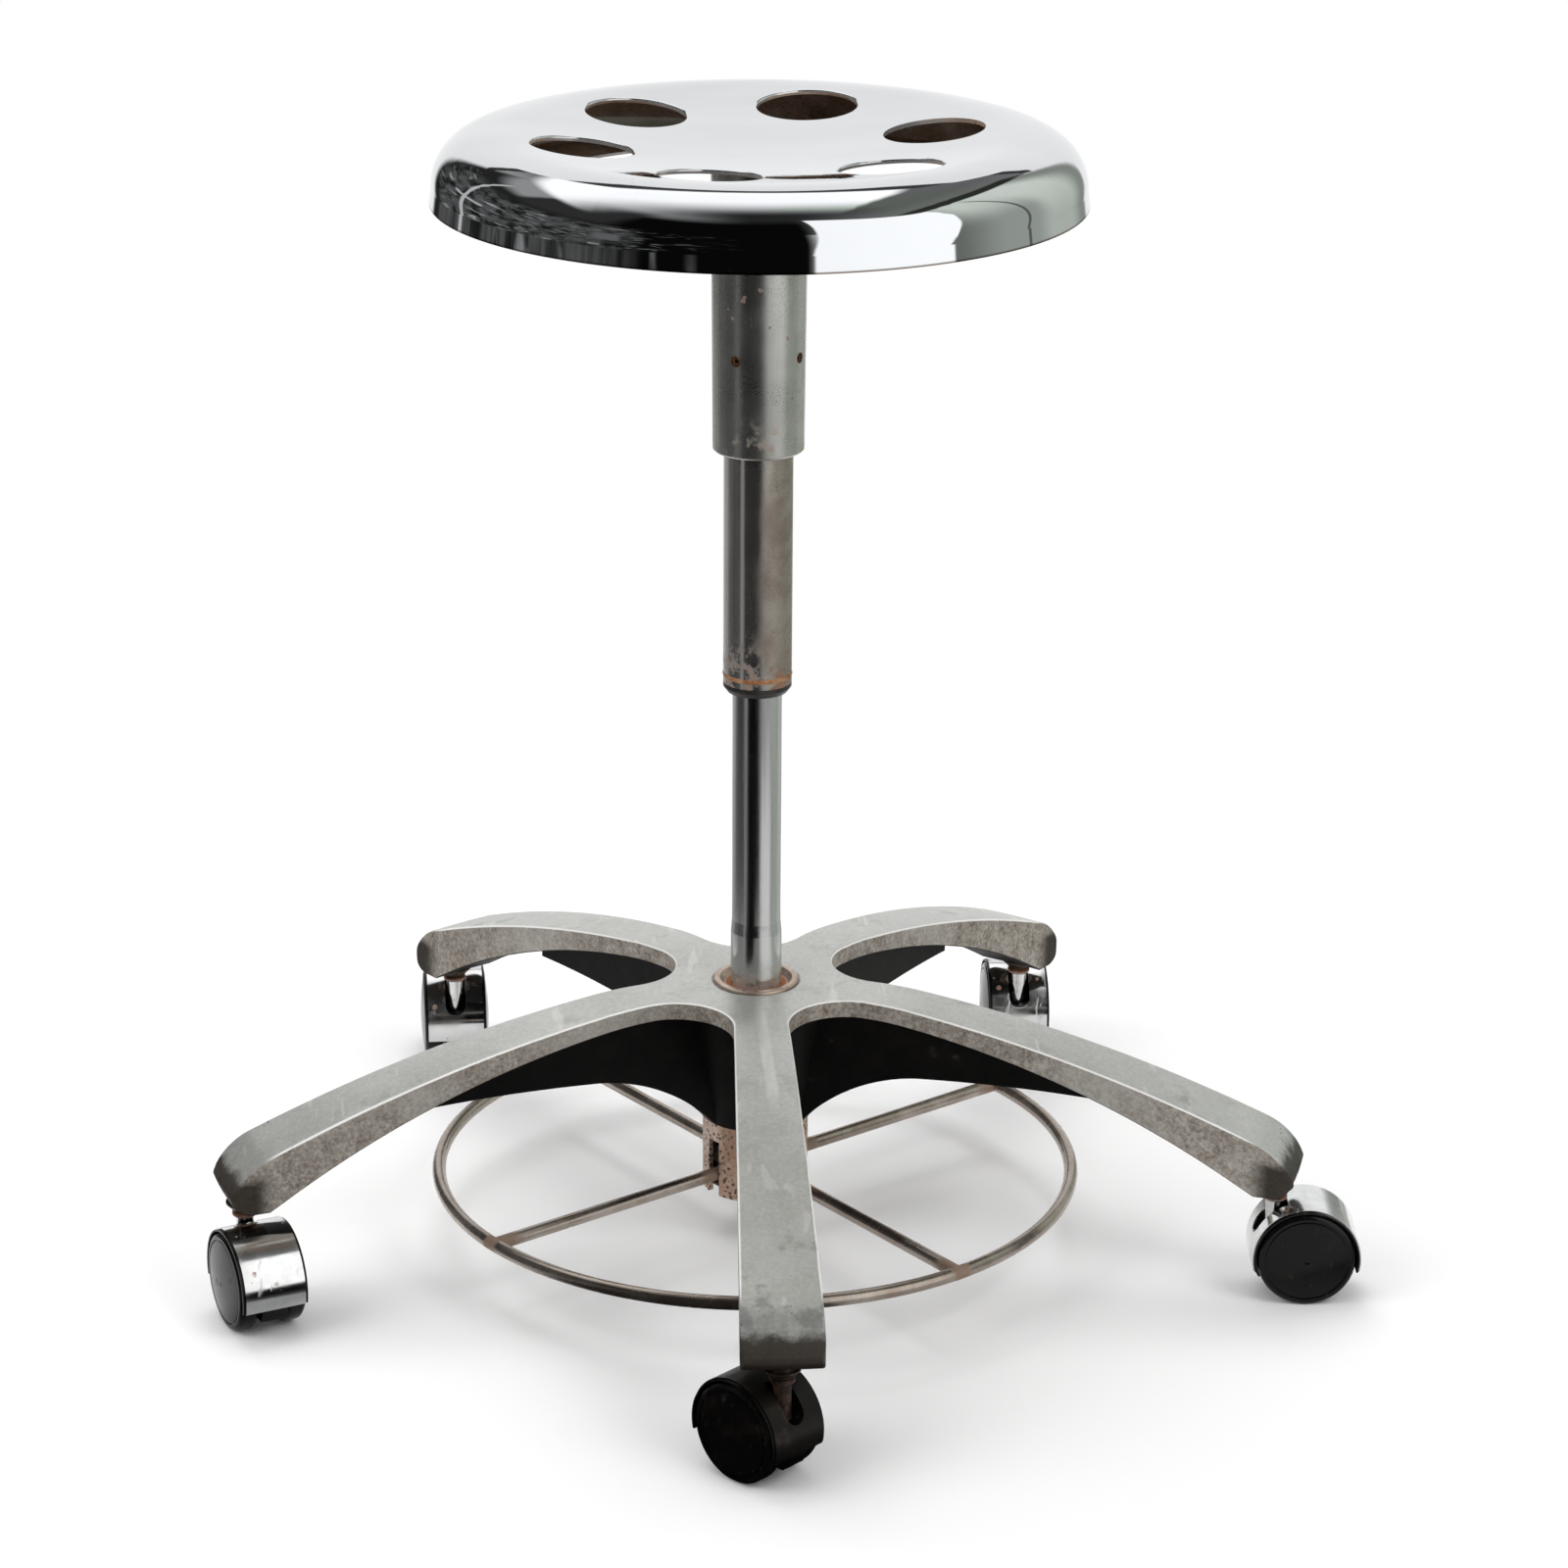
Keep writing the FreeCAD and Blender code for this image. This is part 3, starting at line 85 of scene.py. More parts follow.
class Tree:
    """A node tree under construction. Sockets and plain numbers can be passed alike."""

    # Sockets of the Mix node for colours and for numbers
    MIX_SHARE, COLOUR_A, COLOUR_B, COLOUR_OUT = 0, 6, 7, 2
    NUMBER_A, NUMBER_B, NUMBER_OUT = 2, 3, 0

    def __init__(self, owner):
        owner.use_nodes = True
        self.owner = owner
        self.tree = owner.node_tree
        self.tree.nodes.clear()
        self.place = None

    def add(self, kind, **settings):
        """A new node with its properties set."""
        made = self.tree.nodes.new(kind)
        for key, value in settings.items():
            setattr(made, key, value)
        return made

    def feed(self, socket, value):
        """Link a socket to an input, or set the input to a number, vector or colour."""
        if isinstance(value, bpy.types.NodeSocket):
            self.tree.links.new(value, socket)
        elif value is not None:
            if socket.type == "RGBA" and len(value) == 3:
                value = (*value, 1.0)
            socket.default_value = value

    def math(self, operation, a, b=None, clamp=False):
        made = self.add("ShaderNodeMath", operation=operation, use_clamp=clamp)
        for socket, value in zip(made.inputs, (a, b)):
            self.feed(socket, value)
        return made.outputs[0]

    def times(self, a, b):
        return self.math("MULTIPLY", a, b)

    def plus(self, a, b):
        return self.math("ADD", a, b)

    def minus(self, a, b):
        return self.math("SUBTRACT", a, b)

    def most(self, a, b):
        return self.math("MAXIMUM", a, b)

    def apart(self, a, b):
        """Distance between two numbers."""
        return self.math("ABSOLUTE", self.minus(a, b))

    def swing(self, noise, amount):
        """A noise's swing about its middle, times an amount."""
        return self.times(self.minus(noise, 0.5), amount)

    def vector(self, operation, a, b=None):
        made = self.add("ShaderNodeVectorMath", operation=operation)
        for socket, value in zip(made.inputs, (a, b)):
            self.feed(socket, value)
        return made.outputs["Value" if operation in ("DOT_PRODUCT", "LENGTH") else "Vector"]

    def split(self, vector):
        """The X, Y and Z of a vector."""
        made = self.add("ShaderNodeSeparateXYZ")
        self.feed(made.inputs[0], vector)
        return tuple(made.outputs)

    def join(self, x, y, z):
        made = self.add("ShaderNodeCombineXYZ")
        for socket, value in zip(made.inputs, (x, y, z)):
            self.feed(socket, value)
        return made.outputs[0]

    def reach(self):
        """Distance from the column's line."""
        x, y, _ = self.split(self.place)
        return self.vector("LENGTH", self.join(x, y, 0.0))

    def stretched(self, scale):
        """Object coordinates stretched by a factor along each axis."""
        return self.vector("MULTIPLY", self.place, scale)

    def noise(self, scale, detail=3.0, roughness=0.55, place=None, distortion=0.0):
        made = self.add("ShaderNodeTexNoise")
        self.feed(made.inputs["Vector"], place or self.place)
        self.feed(made.inputs["Scale"], scale)
        self.feed(made.inputs["Detail"], detail)
        self.feed(made.inputs["Roughness"], roughness)
        self.feed(made.inputs["Distortion"], distortion)
        return made.outputs[0]

    def cells(self, scale):
        """Distance to the nearest of scattered points."""
        made = self.add("ShaderNodeTexVoronoi")
        self.feed(made.inputs["Vector"], self.place)
        self.feed(made.inputs["Scale"], scale)
        return made.outputs["Distance"]

    def span(self, value, low, high, to_low=0.0, to_high=1.0, kind="SMOOTHSTEP"):
        """Map value from low..high to to_low..to_high, held at the ends."""
        made = self.add("ShaderNodeMapRange", interpolation_type=kind)
        for key, number in (("Value", value), ("From Min", low), ("From Max", high),
                            ("To Min", to_low), ("To Max", to_high)):
            self.feed(made.inputs[key], number)
        return made.outputs[0]

    def drift(self, noise, to_low, to_high):
        """Map a noise to numbers from to_low to to_high."""
        return self.span(noise, *NOISE_WIDE, to_low, to_high)

    def ramp(self, value, stops):
        """Colours at stops along a value."""
        made = self.add("ShaderNodeValToRGB")
        self.feed(made.inputs[0], value)
        points = made.color_ramp.elements
        while len(points) < len(stops):
            points.new(0.5)
        for point, (place, colour) in zip(points, stops):
            point.position = place
            point.color = (*colour, 1.0)
        return made.outputs[0]

    def mix(self, share, a, b):
        """Mix two colours."""
        made = self.add("ShaderNodeMix", data_type="RGBA")
        self.feed(made.inputs[self.MIX_SHARE], share)
        self.feed(made.inputs[self.COLOUR_A], a)
        self.feed(made.inputs[self.COLOUR_B], b)
        return made.outputs[self.COLOUR_OUT]

    def blend(self, share, a, b):
        """Mix two numbers."""
        made = self.add("ShaderNodeMix", data_type="FLOAT")
        self.feed(made.inputs[self.MIX_SHARE], share)
        self.feed(made.inputs[self.NUMBER_A], a)
        self.feed(made.inputs[self.NUMBER_B], b)
        return made.outputs[self.NUMBER_OUT]

    def tones(self, noise, a, b):
        """Two colours that a noise mixes."""
        return self.mix(self.span(noise, *NOISE_MID), a, b)

    def paint(self, mask, share, colour, coat):
        """Lay a coat over a colour where a mask is 1, covering it by a share."""
        return self.mix(self.times(mask, share), colour, coat)

    def bump(self, height, distance, strength, below=None):
        """Normals of a relief, on top of those of a relief below it."""
        made = self.add("ShaderNodeBump")
        self.feed(made.inputs["Strength"], strength)
        self.feed(made.inputs["Distance"], distance)
        self.feed(made.inputs["Height"], height)
        self.feed(made.inputs["Normal"], below)
        return made.outputs[0]

    def normal(self):
        return self.add("ShaderNodeNewGeometry").outputs["Normal"]

    def glow(self, colour, strength):
        made = self.add("ShaderNodeEmission")
        self.feed(made.inputs["Color"], colour)
        self.feed(made.inputs["Strength"], strength)
        return made

    def show(self, shader, kind="ShaderNodeOutputMaterial"):
        """Put a shader on the output and return the finished material or world."""
        output = self.add(kind)
        self.tree.links.new(shader.outputs[0], output.inputs["Surface"])
        return self.owner

    def show_both(self, share, a, b):
        """Show two shaders, mixed by a share of the second."""
        both = self.add("ShaderNodeMixShader")
        self.feed(both.inputs[0], share)
        self.tree.links.new(a.outputs[0], both.inputs[1])
        self.tree.links.new(b.outputs[0], both.inputs[2])
        return self.show(both)

    def shade(self, **sockets):
        """Show a principled surface. Names are written with underscores for spaces."""
        shader = self.add("ShaderNodeBsdfPrincipled")
        for key, value in sockets.items():
            self.feed(shader.inputs[key.replace("_", " ")], value)
        return self.show(shader)


def material(name):
    """The tree of a new material, with object coordinates as its place."""
    t = Tree(bpy.data.materials.new(name))
    t.place = t.add("ShaderNodeTexCoord").outputs["Object"]
    return t


def spots(t, scale, size, soft, patch_scale, patches):
    """Round spots of uneven size, gathered in patches: 1 inside a spot.

    The size is in cell widths, and the patches fade in over a range of a slower noise.
    """
    wobble = t.noise(scale * 1.7, 2.0)
    distance = t.plus(t.cells(scale), t.swing(wobble, 0.5))
    inside = t.span(distance, size, size - soft)
    return t.times(inside, t.span(t.noise(patch_scale, 3.0), *patches))


def band(t, value, low, high, soft):
    """1 from low to high, with soft edges."""
    rise = t.span(value, low - soft, low + soft)
    return t.times(rise, t.span(value, high + soft, high - soft))


# Seat and column

def seat_chrome():
    """Mirror plating outside, raw brown steel inside and below."""
    t = material("seat_chrome")
    x, y, z = t.split(t.place)
    flat = t.join(x, y, 0.0)
    reach = t.vector("LENGTH", flat)
    normal = t.normal()
    outward = t.vector("DOT_PRODUCT", t.vector("NORMALIZE", flat), normal)
    up = t.split(normal)[2]

    # Raw below the dish, on the rim's inner side, on the hem and a little on the holes' lips
    below = t.span(up, 0.10, -0.10)
    inner_rim = t.times(t.span(outward, -0.02, -0.12), t.span(reach, *SHOULDER_START))
    inside = t.most(t.times(below, t.span(outward, 0.9, 0.8)), inner_rim)
    lip = t.times(t.span(up, 0.55, 0.30), t.span(reach, *HOLES_END))
    inside = t.most(inside, t.times(lip, 0.35))
    hem = t.times(t.span(z, *HEM_TOP), t.span(up, 0.4, 0.7))
    inside = t.most(inside, hem)

    patch = t.noise(26.0, 5.0, 0.6)
    raw = t.ramp(patch, [(0.30, (0.12, 0.070, 0.042)), (0.50, (0.26, 0.175, 0.125)),
                         (0.72, (0.42, 0.34, 0.28))])
    speck = spots(t, 420.0, 0.22, 0.08, 60.0, (0.38, 0.52))
    raw = t.paint(speck, 0.7, raw, (0.075, 0.042, 0.026))
    # Painted light: the lower wall of the left holes lit pale, its top edge sloping to the
    # right
    low_wall = t.plus(z, t.times(t.plus(x, -HOLE_WALL_X), HOLE_WALL_SLOPE))
    pale = t.times(t.span(low_wall, *HOLE_WALL_TOP), t.span(x, *HOLE_WALL_LEFT))
    pale = t.times(pale, t.span(z, *HOLE_WALL_FOOT))
    raw = t.mix(t.times(pale, t.span(patch, 0.30, 0.52, 0.55, 0.95)), raw, (0.56, 0.58, 0.50))
    # Painted shade: the hem's upper face darkened where it lies in shadow under the seat
    raw = t.paint(hem, 0.6, raw, (0.12, 0.075, 0.048))

    smear = t.noise(9.0, 3.0, 0.5, t.stretched((1.0, 2.6, 1.0)))
    plating = t.mix(t.span(smear, 0.35, 0.75), (0.68, 0.695, 0.71), (0.63, 0.645, 0.66))
    fleck = spots(t, 150.0, 0.10, 0.03, 16.0, (0.55, 0.65))
    plating = t.paint(fleck, 0.35, plating, (0.30, 0.29, 0.28))

    colour = t.mix(inside, plating, raw)
    edge = t.times(t.span(z, *SEAT_EDGE_HEIGHT), t.span(reach, *SEAT_EDGE_REACH))
    colour = t.paint(edge, 0.9, colour, (0.10, 0.060, 0.040))
    shine = t.blend(t.span(smear, 0.3, 0.8), 0.015, 0.035)
    rough = t.blend(inside, shine, t.drift(patch, 0.62, 0.42))
    dents = t.bump(t.noise(7.0, 1.0, 0.4), 0.0004, 0.30)
    grain = t.bump(t.times(t.noise(420.0, 3.0), inside), 0.0004, 0.8, dents)
    return t.shade(Base_Color=colour, Metallic=t.blend(inside, 1.0, 0.25), Roughness=rough,
                   Normal=grain)


def raw_steel():
    """Dark unplated steel below the seat."""
    t = material("raw_steel")
    patch = t.noise(30.0, 5.0, 0.6)
    colour = t.ramp(patch, [(0.3, (0.06, 0.045, 0.035)), (0.55, (0.17, 0.14, 0.115)),
                            (0.8, (0.30, 0.26, 0.23))])
    return t.shade(Base_Color=colour, Metallic=0.6, Roughness=t.drift(patch, 0.65, 0.45),
                   Normal=t.bump(t.noise(350.0), 0.0004, 0.6))


def socket_steel():
    """Satin sleeve with fine dark specks, some rust points and lengthwise streaks."""
    t = material("socket_steel")
    z = t.split(t.place)[2]
    streak = t.noise(60.0, 4.0, 0.6, t.stretched((1.0, 1.0, 0.06)))
    cloud = t.noise(22.0, 4.0, 0.6)
    colour = t.tones(cloud, (0.50, 0.50, 0.47), (0.63, 0.63, 0.60))
    colour = t.mix(t.span(streak, 0.40, 0.65, 0.0, 0.35), colour, (0.36, 0.36, 0.34))
    fine = spots(t, 900.0, 0.28, 0.10, 45.0, (0.40, 0.60))
    colour = t.paint(fine, 0.55, colour, (0.15, 0.14, 0.13))
    specks = spots(t, 300.0, 0.15, 0.05, 40.0, (0.45, 0.60))
    colour = t.paint(specks, 0.8, colour, (0.10, 0.08, 0.07))
    rust = spots(t, 130.0, 0.13, 0.05, 28.0, (0.52, 0.62))
    foot_rust = t.times(t.span(z, *SOCKET_FOOT), t.span(t.noise(90.0, 4.0), 0.52, 0.66))
    rust = t.most(rust, foot_rust)
    colour = t.paint(rust, 0.7, colour, (0.30, 0.13, 0.05))
    rough = t.blend(t.most(rust, fine), t.drift(cloud, 0.24, 0.36), 0.6)
    metal = t.blend(t.most(rust, t.times(specks, 0.6)), 0.95, 0.2)
    pits = t.bump(t.most(fine, specks), 0.00012, -0.5)
    return t.shade(Base_Color=colour, Metallic=metal, Roughness=rough, Normal=pits)


def rusty_screw():
    """Black oxide grub screws gone rusty."""
    t = material("rusty_screw")
    patch = t.noise(420.0, 4.0)
    colour = t.ramp(patch, [(0.35, (0.035, 0.018, 0.010)), (0.6, (0.20, 0.075, 0.03)),
                            (0.8, (0.33, 0.20, 0.13))])
    return t.shade(Base_Color=colour, Metallic=0.3, Roughness=0.7,
                   Normal=t.bump(patch, 0.0003, 0.8))


def worn_chrome():
    """Dark, brown-tinted chrome of the sliding tube, dull towards the right and speckled."""
    t = material("worn_chrome")
    x, y, z = t.split(t.place)
    outward = t.vector("NORMALIZE", t.join(x, y, 0.0))
    to_right = t.vector("DOT_PRODUCT", outward, (0.94, -0.34, 0.0))
    cloud = t.noise(16.0, 5.0, 0.62, t.stretched((1.0, 1.0, 0.55)))
    dull = t.span(t.plus(to_right, t.swing(cloud, 1.5)), 0.10, 0.75)
    bright = t.tones(cloud, (0.52, 0.49, 0.46), (0.64, 0.62, 0.60))
    brown = t.tones(t.noise(45.0, 5.0, 0.65), (0.21, 0.165, 0.125), (0.37, 0.33, 0.285))
    colour = t.paint(dull, 0.85, bright, brown)
    fine = spots(t, 1100.0, 0.34, 0.12, 55.0, (0.38, 0.58))
    fine = t.times(fine, t.span(dull, 0.0, 0.6, 0.15, 1.0))
    colour = t.paint(fine, 0.5, colour, (0.60, 0.55, 0.48))
    dark = spots(t, 420.0, 0.16, 0.06, 50.0, (0.42, 0.60))
    colour = t.paint(dark, 0.8, colour, (0.07, 0.05, 0.04))
    rust = t.times(t.span(z, *GUIDE_TUBE_FOOT), t.span(t.noise(120.0, 5.0, 0.65), 0.46, 0.62))
    colour = t.paint(rust, 0.8, colour, (0.24, 0.105, 0.045))
    rough = t.blend(dull, t.drift(cloud, 0.09, 0.20), 0.50)
    rough = t.blend(rust, rough, 0.75)
    metal = t.blend(t.most(rust, t.times(dark, 0.5)), 0.95, 0.25)
    scratch = t.noise(300.0, 2.0, 0.5, t.stretched((1.0, 1.0, 0.03)))
    relief = t.bump(scratch, 0.00006, 0.5, t.bump(t.most(fine, dark), 0.0001, -0.4))
    return t.shade(Base_Color=colour, Metallic=metal, Roughness=rough, Normal=relief)


def rusty_ring():
    """Orange-brown rust of the dust ring at the sliding tube's foot."""
    t = material("rusty_ring")
    patch = t.noise(160.0, 5.0, 0.65)
    colour = t.ramp(patch, [(0.30, (0.16, 0.060, 0.022)), (0.5, (0.36, 0.155, 0.062)),
                            (0.72, (0.52, 0.34, 0.22))])
    return t.shade(Base_Color=colour, Metallic=0.35, Roughness=0.6,
                   Normal=t.bump(patch, 0.0003, 0.6))


def bush_black():
    """Black bush with a film of dust and old grease."""
    t = material("bush_black")
    dust = t.noise(90.0, 5.0, 0.65)
    colour = t.ramp(dust, [(0.4, (0.010, 0.009, 0.008)), (0.62, (0.028, 0.024, 0.020)),
                           (0.85, (0.10, 0.075, 0.055))])
    return t.shade(Base_Color=colour, Roughness=t.drift(dust, 0.32, 0.55),
                   Normal=t.bump(dust, 0.0001, 0.5))


def plain_metal(name, low, high, rough, metallic=1.0, scale=60.0):
    """A metal whose tone drifts between two colours."""
    t = material(name)
    cloud = t.noise(scale, 4.0, 0.6)
    return t.shade(Base_Color=t.tones(cloud, low, high), Metallic=metallic,
                   Roughness=t.drift(cloud, rough * 0.8, rough * 1.3),
                   Normal=t.bump(t.noise(500.0), 0.00005, 0.4))


def tube_chrome():
    """Lengthwise brushed pressure tube, clean but for a little rust at its foot."""
    t = material("tube_chrome")
    x, y, z = t.split(t.place)
    around = t.math("ARCTAN2", y, x)
    line = t.noise(34.0, 3.0, 0.6, t.join(around, around, t.times(z, 0.4)))
    fine = t.noise(9.0, 2.0, 0.5, t.join(t.times(around, 14.0), 0.0, t.times(z, 1.4)))
    colour = t.mix(t.span(fine, *NOISE_WIDE), (0.60, 0.61, 0.60), (0.74, 0.75, 0.74))
    stain = t.times(t.span(z, *PRESSURE_TUBE_FOOT), t.span(t.noise(140.0, 4.0), 0.40, 0.60))
    colour = t.paint(stain, 0.55, colour, (0.38, 0.20, 0.12))
    rough = t.blend(stain, t.drift(fine, 0.13, 0.22), 0.55)
    return t.shade(Base_Color=colour, Metallic=t.blend(stain, 1.0, 0.6), Roughness=rough,
                   Normal=t.bump(t.plus(line, fine), 0.00005, 0.35))


# Base

def strap_under(t, reach):
    """Height of the straps' underside over the distance from the column."""
    made = t.add("ShaderNodeFloatCurve")
    t.feed(made.inputs["Value"], t.math("DIVIDE", reach, STRAP_REACH))
    points = made.mapping.curves[0].points
    while len(points) < len(STRAP_LINE):
        points.new(0.5, 0.5)
    for point, (distance, height) in zip(points, STRAP_LINE):
        point.location = (distance / STRAP_REACH, height / STRAP_HEIGHT)
        point.handle_type = "VECTOR"
    made.mapping.update()
    return t.times(made.outputs[0], STRAP_HEIGHT)


def cast_aluminium():
    """Satin top, rough brown-grey sides, near black below the hub, dark and pitted toes."""
    t = material("cast_aluminium")
    x, y, z = t.split(t.place)
    reach = t.reach()
    up = t.split(t.normal())[2]
    top = t.span(up, 0.35, 0.70)
    under = t.span(up, -0.25, -0.65)
    side = t.math("SUBTRACT", 1.0, t.most(top, under), clamp=True)

    # Satin top with mottles, smudges, scratches and a bright streak along the front arm
    cloud = t.noise(14.0, 5.0, 0.62)
    fine = t.noise(420.0, 3.0, 0.6)
    satin = t.mix(t.span(cloud, 0.32, 0.70), (0.44, 0.445, 0.42), (0.555, 0.56, 0.535))
    satin = t.mix(t.span(fine, 0.40, 0.68, 0.0, 0.28), satin, (0.72, 0.72, 0.70))
    mottle = t.noise(170.0, 4.0, 0.7)
    satin = t.mix(t.span(mottle, 0.52, 0.72, 0.0, 0.30), satin, (0.33, 0.33, 0.30))
    smudge = t.span(t.noise(38.0, 4.0, 0.62), 0.55, 0.70)
    satin = t.paint(smudge, 0.42, satin, (0.31, 0.31, 0.285))
    scratch = t.noise(120.0, 2.0, 0.5, t.stretched((1.0, 0.10, 1.0)), 0.4)
    satin = t.paint(t.span(scratch, 0.64, 0.70), 0.35, satin, (0.78, 0.77, 0.74))
    arm_x = t.plus(x, t.times(t.plus(y, -STREAK_Y), STREAK_SLOPE))
    streak = t.times(t.span(t.math("ABSOLUTE", arm_x), *STREAK_HALF_WIDTH),
                     t.times(t.span(y, *STREAK_FRONT), t.span(y, *STREAK_BACK)))
    satin = t.paint(streak, 0.35, satin, (0.74, 0.72, 0.70))

    # Sand-cast sides, polished in places
    rough_patch = t.noise(90.0, 6.0, 0.68)
    grit = t.noise(430.0, 4.0, 0.75)
    gritty = t.plus(t.times(rough_patch, 0.38), t.times(grit, 0.62))
    cast = t.ramp(gritty, [(0.37, (0.15, 0.118, 0.095)), (0.50, (0.32, 0.288, 0.250)),
                           (0.63, (0.50, 0.475, 0.43))])
    polish = t.span(t.noise(9.0, 3.0, 0.5), 0.45, 0.62)
    cast = t.paint(polish, 0.45, cast, (0.50, 0.49, 0.455))
    colour = t.mix(top, cast, satin)

    # Painted highlight along the rounded edges between top and sides, from the collar to the
    # toes, with some edge wear
    edge = t.times(band(t, up, 0.30, 0.88, 0.08), t.span(reach, *ARM_EDGES_END))
    edge = t.times(edge, t.span(reach, *COLLAR_OUTSIDE))
    colour = t.mix(edge, colour, (0.93, 0.92, 0.89))

    # Below the straps, the ribs and the boss are black
    black = t.ramp(t.noise(60.0, 5.0, 0.65),
                   [(0.40, (0.0015, 0.0012, 0.0010)), (0.66, (0.004, 0.0034, 0.0028)),
                    (0.80, (0.045, 0.040, 0.036))])
    ribs = t.span(t.minus(z, strap_under(t, reach)), 0.0005, -0.0015)
    dirty = t.most(t.times(ribs, t.span(reach, *RIBS_END)), under)
    colour = t.mix(dirty, colour, black)

    # Dark toes, dirt on the lower arms, pits, and a dark seam round the collar
    toe = t.plus(t.span(z, *TOE_HEIGHT), t.swing(rough_patch, 1.1))
    toe = t.times(t.span(toe, 0.10, 0.75), t.span(reach, *TOE_START))
    colour = t.paint(toe, 0.95, colour, (0.022, 0.017, 0.013))
    dirt = t.times(t.span(smudge, 0.1, 0.9), t.span(reach, *ARM_LOWERS))
    colour = t.paint(t.times(dirt, top), 0.35, colour, (0.16, 0.155, 0.14))
    pits = spots(t, 260.0, 0.14, 0.05, 55.0, (0.50, 0.60))
    pits = t.times(pits, t.span(reach, *ARM_PITTED, 0.12, 1.0))
    colour = t.paint(pits, 0.9, colour, (0.012, 0.010, 0.008))
    seam = t.times(t.span(reach, *COLLAR_SEAM), top)
    broken = t.span(t.noise(120.0, 4.0), 0.35, 0.65, 0.35, 1.0)
    colour = t.mix(t.times(seam, broken), colour, (0.10, 0.075, 0.055))

    rough = t.blend(top, t.drift(rough_patch, 0.62, 0.42), t.drift(cloud, 0.33, 0.44))
    for mask, value in ((streak, 0.28), (edge, 0.26), (dirty, 0.55)):
        rough = t.blend(mask, rough, value)
    metal = t.blend(t.most(dirty, t.times(toe, 0.8)), t.blend(side, 0.62, 0.35), 0.0)
    metal = t.blend(t.times(edge, t.minus(1.0, dirty)), metal, 0.15)
    grain = t.bump(t.plus(fine, t.times(side, rough_patch)), 0.00022, 0.45)
    grain = t.bump(pits, 0.0004, -0.7, grain)
    return t.shade(Base_Color=colour, Metallic=metal, Roughness=rough, Normal=grain,
                   Specular_IOR_Level=0.15)


def collar_steel():
    """Pinkish raw insert, rusty beside the tube."""
    t = material("collar_steel")
    cloud = t.noise(85.0, 5.0, 0.65)
    colour = t.ramp(cloud, [(0.30, (0.30, 0.20, 0.145)), (0.5, (0.52, 0.40, 0.33)),
                            (0.72, (0.66, 0.57, 0.50))])
    near = t.plus(t.span(t.reach(), *COLLAR_NEAR_TUBE), t.swing(cloud, 0.9))
    rust = t.span(near, 0.35, 0.85)
    colour = t.mix(rust, colour, (0.33, 0.125, 0.048))
    dots = spots(t, 240.0, 0.12, 0.05, 60.0, (0.5, 0.6))
    colour = t.paint(dots, 0.85, colour, (0.05, 0.03, 0.02))
    rough = t.blend(rust, t.drift(cloud, 0.30, 0.45), 0.75)
    return t.shade(Base_Color=colour, Metallic=t.blend(rust, 0.75, 0.1), Roughness=rough,
                   Normal=t.bump(cloud, 0.0003, 0.4))


def sleeve_steel():
    """Pinkish beige sleeve with many dark brown specks."""
    t = material("sleeve_steel")
    colour = t.tones(t.noise(55.0, 4.0, 0.6), (0.42, 0.265, 0.185), (0.58, 0.45, 0.37))
    big = spots(t, 330.0, 0.36, 0.06, 60.0, (0.34, 0.46))
    small = spots(t, 620.0, 0.34, 0.08, 70.0, (0.36, 0.50))
    colour = t.paint(small, 0.75, colour, (0.115, 0.060, 0.036))
    colour = t.paint(big, 0.9, colour, (0.045, 0.026, 0.018))
    specks = t.most(big, small)
    return t.shade(Base_Color=colour, Metallic=t.blend(specks, 0.55, 0.1),
                   Roughness=t.blend(big, 0.42, 0.75), Normal=t.bump(specks, 0.0003, -0.5))


def ring_material(name, is_ring):
    """Worn steel wire of the foot ring or its rods, rusty near the welds."""
    t = material(name)
    cloud = t.noise(34.0, 5.0, 0.62)
    colour = t.ramp(cloud, [(0.32, (0.27, 0.215, 0.175)), (0.5, (0.37, 0.32, 0.275)),
                            (0.70, (0.48, 0.43, 0.385))])
    if is_ring:
        x, y, _ = t.split(t.place)
        from_weld = t.times(t.minus(t.math("ARCTAN2", y, x), WELD_TURN), 2.0)
        near = t.span(t.math("ABSOLUTE", t.math("SINE", from_weld)), 0.09, 0.02)
    else:
        reach = t.reach()
        near = t.most(t.span(reach, *SPOKE_OUTER_END), t.span(reach, *SPOKE_INNER_END))
    rust = t.plus(t.times(near, 0.6), t.minus(t.noise(95.0, 5.0, 0.65), 0.42))
    rust = t.span(rust, 0.20, 0.60)
    colour = t.paint(rust, 0.60, colour, (0.25, 0.145, 0.085))
    dots = spots(t, 360.0, 0.13, 0.05, 55.0, (0.50, 0.62))
    colour = t.paint(dots, 0.45, colour, (0.07, 0.045, 0.03))
    rough = t.blend(rust, t.drift(cloud, 0.20, 0.32), 0.60)
    return t.shade(Base_Color=colour, Metallic=t.blend(rust, 0.95, 0.5), Roughness=rough,
                   Normal=t.bump(cloud, 0.0002, 0.35))


# Casters

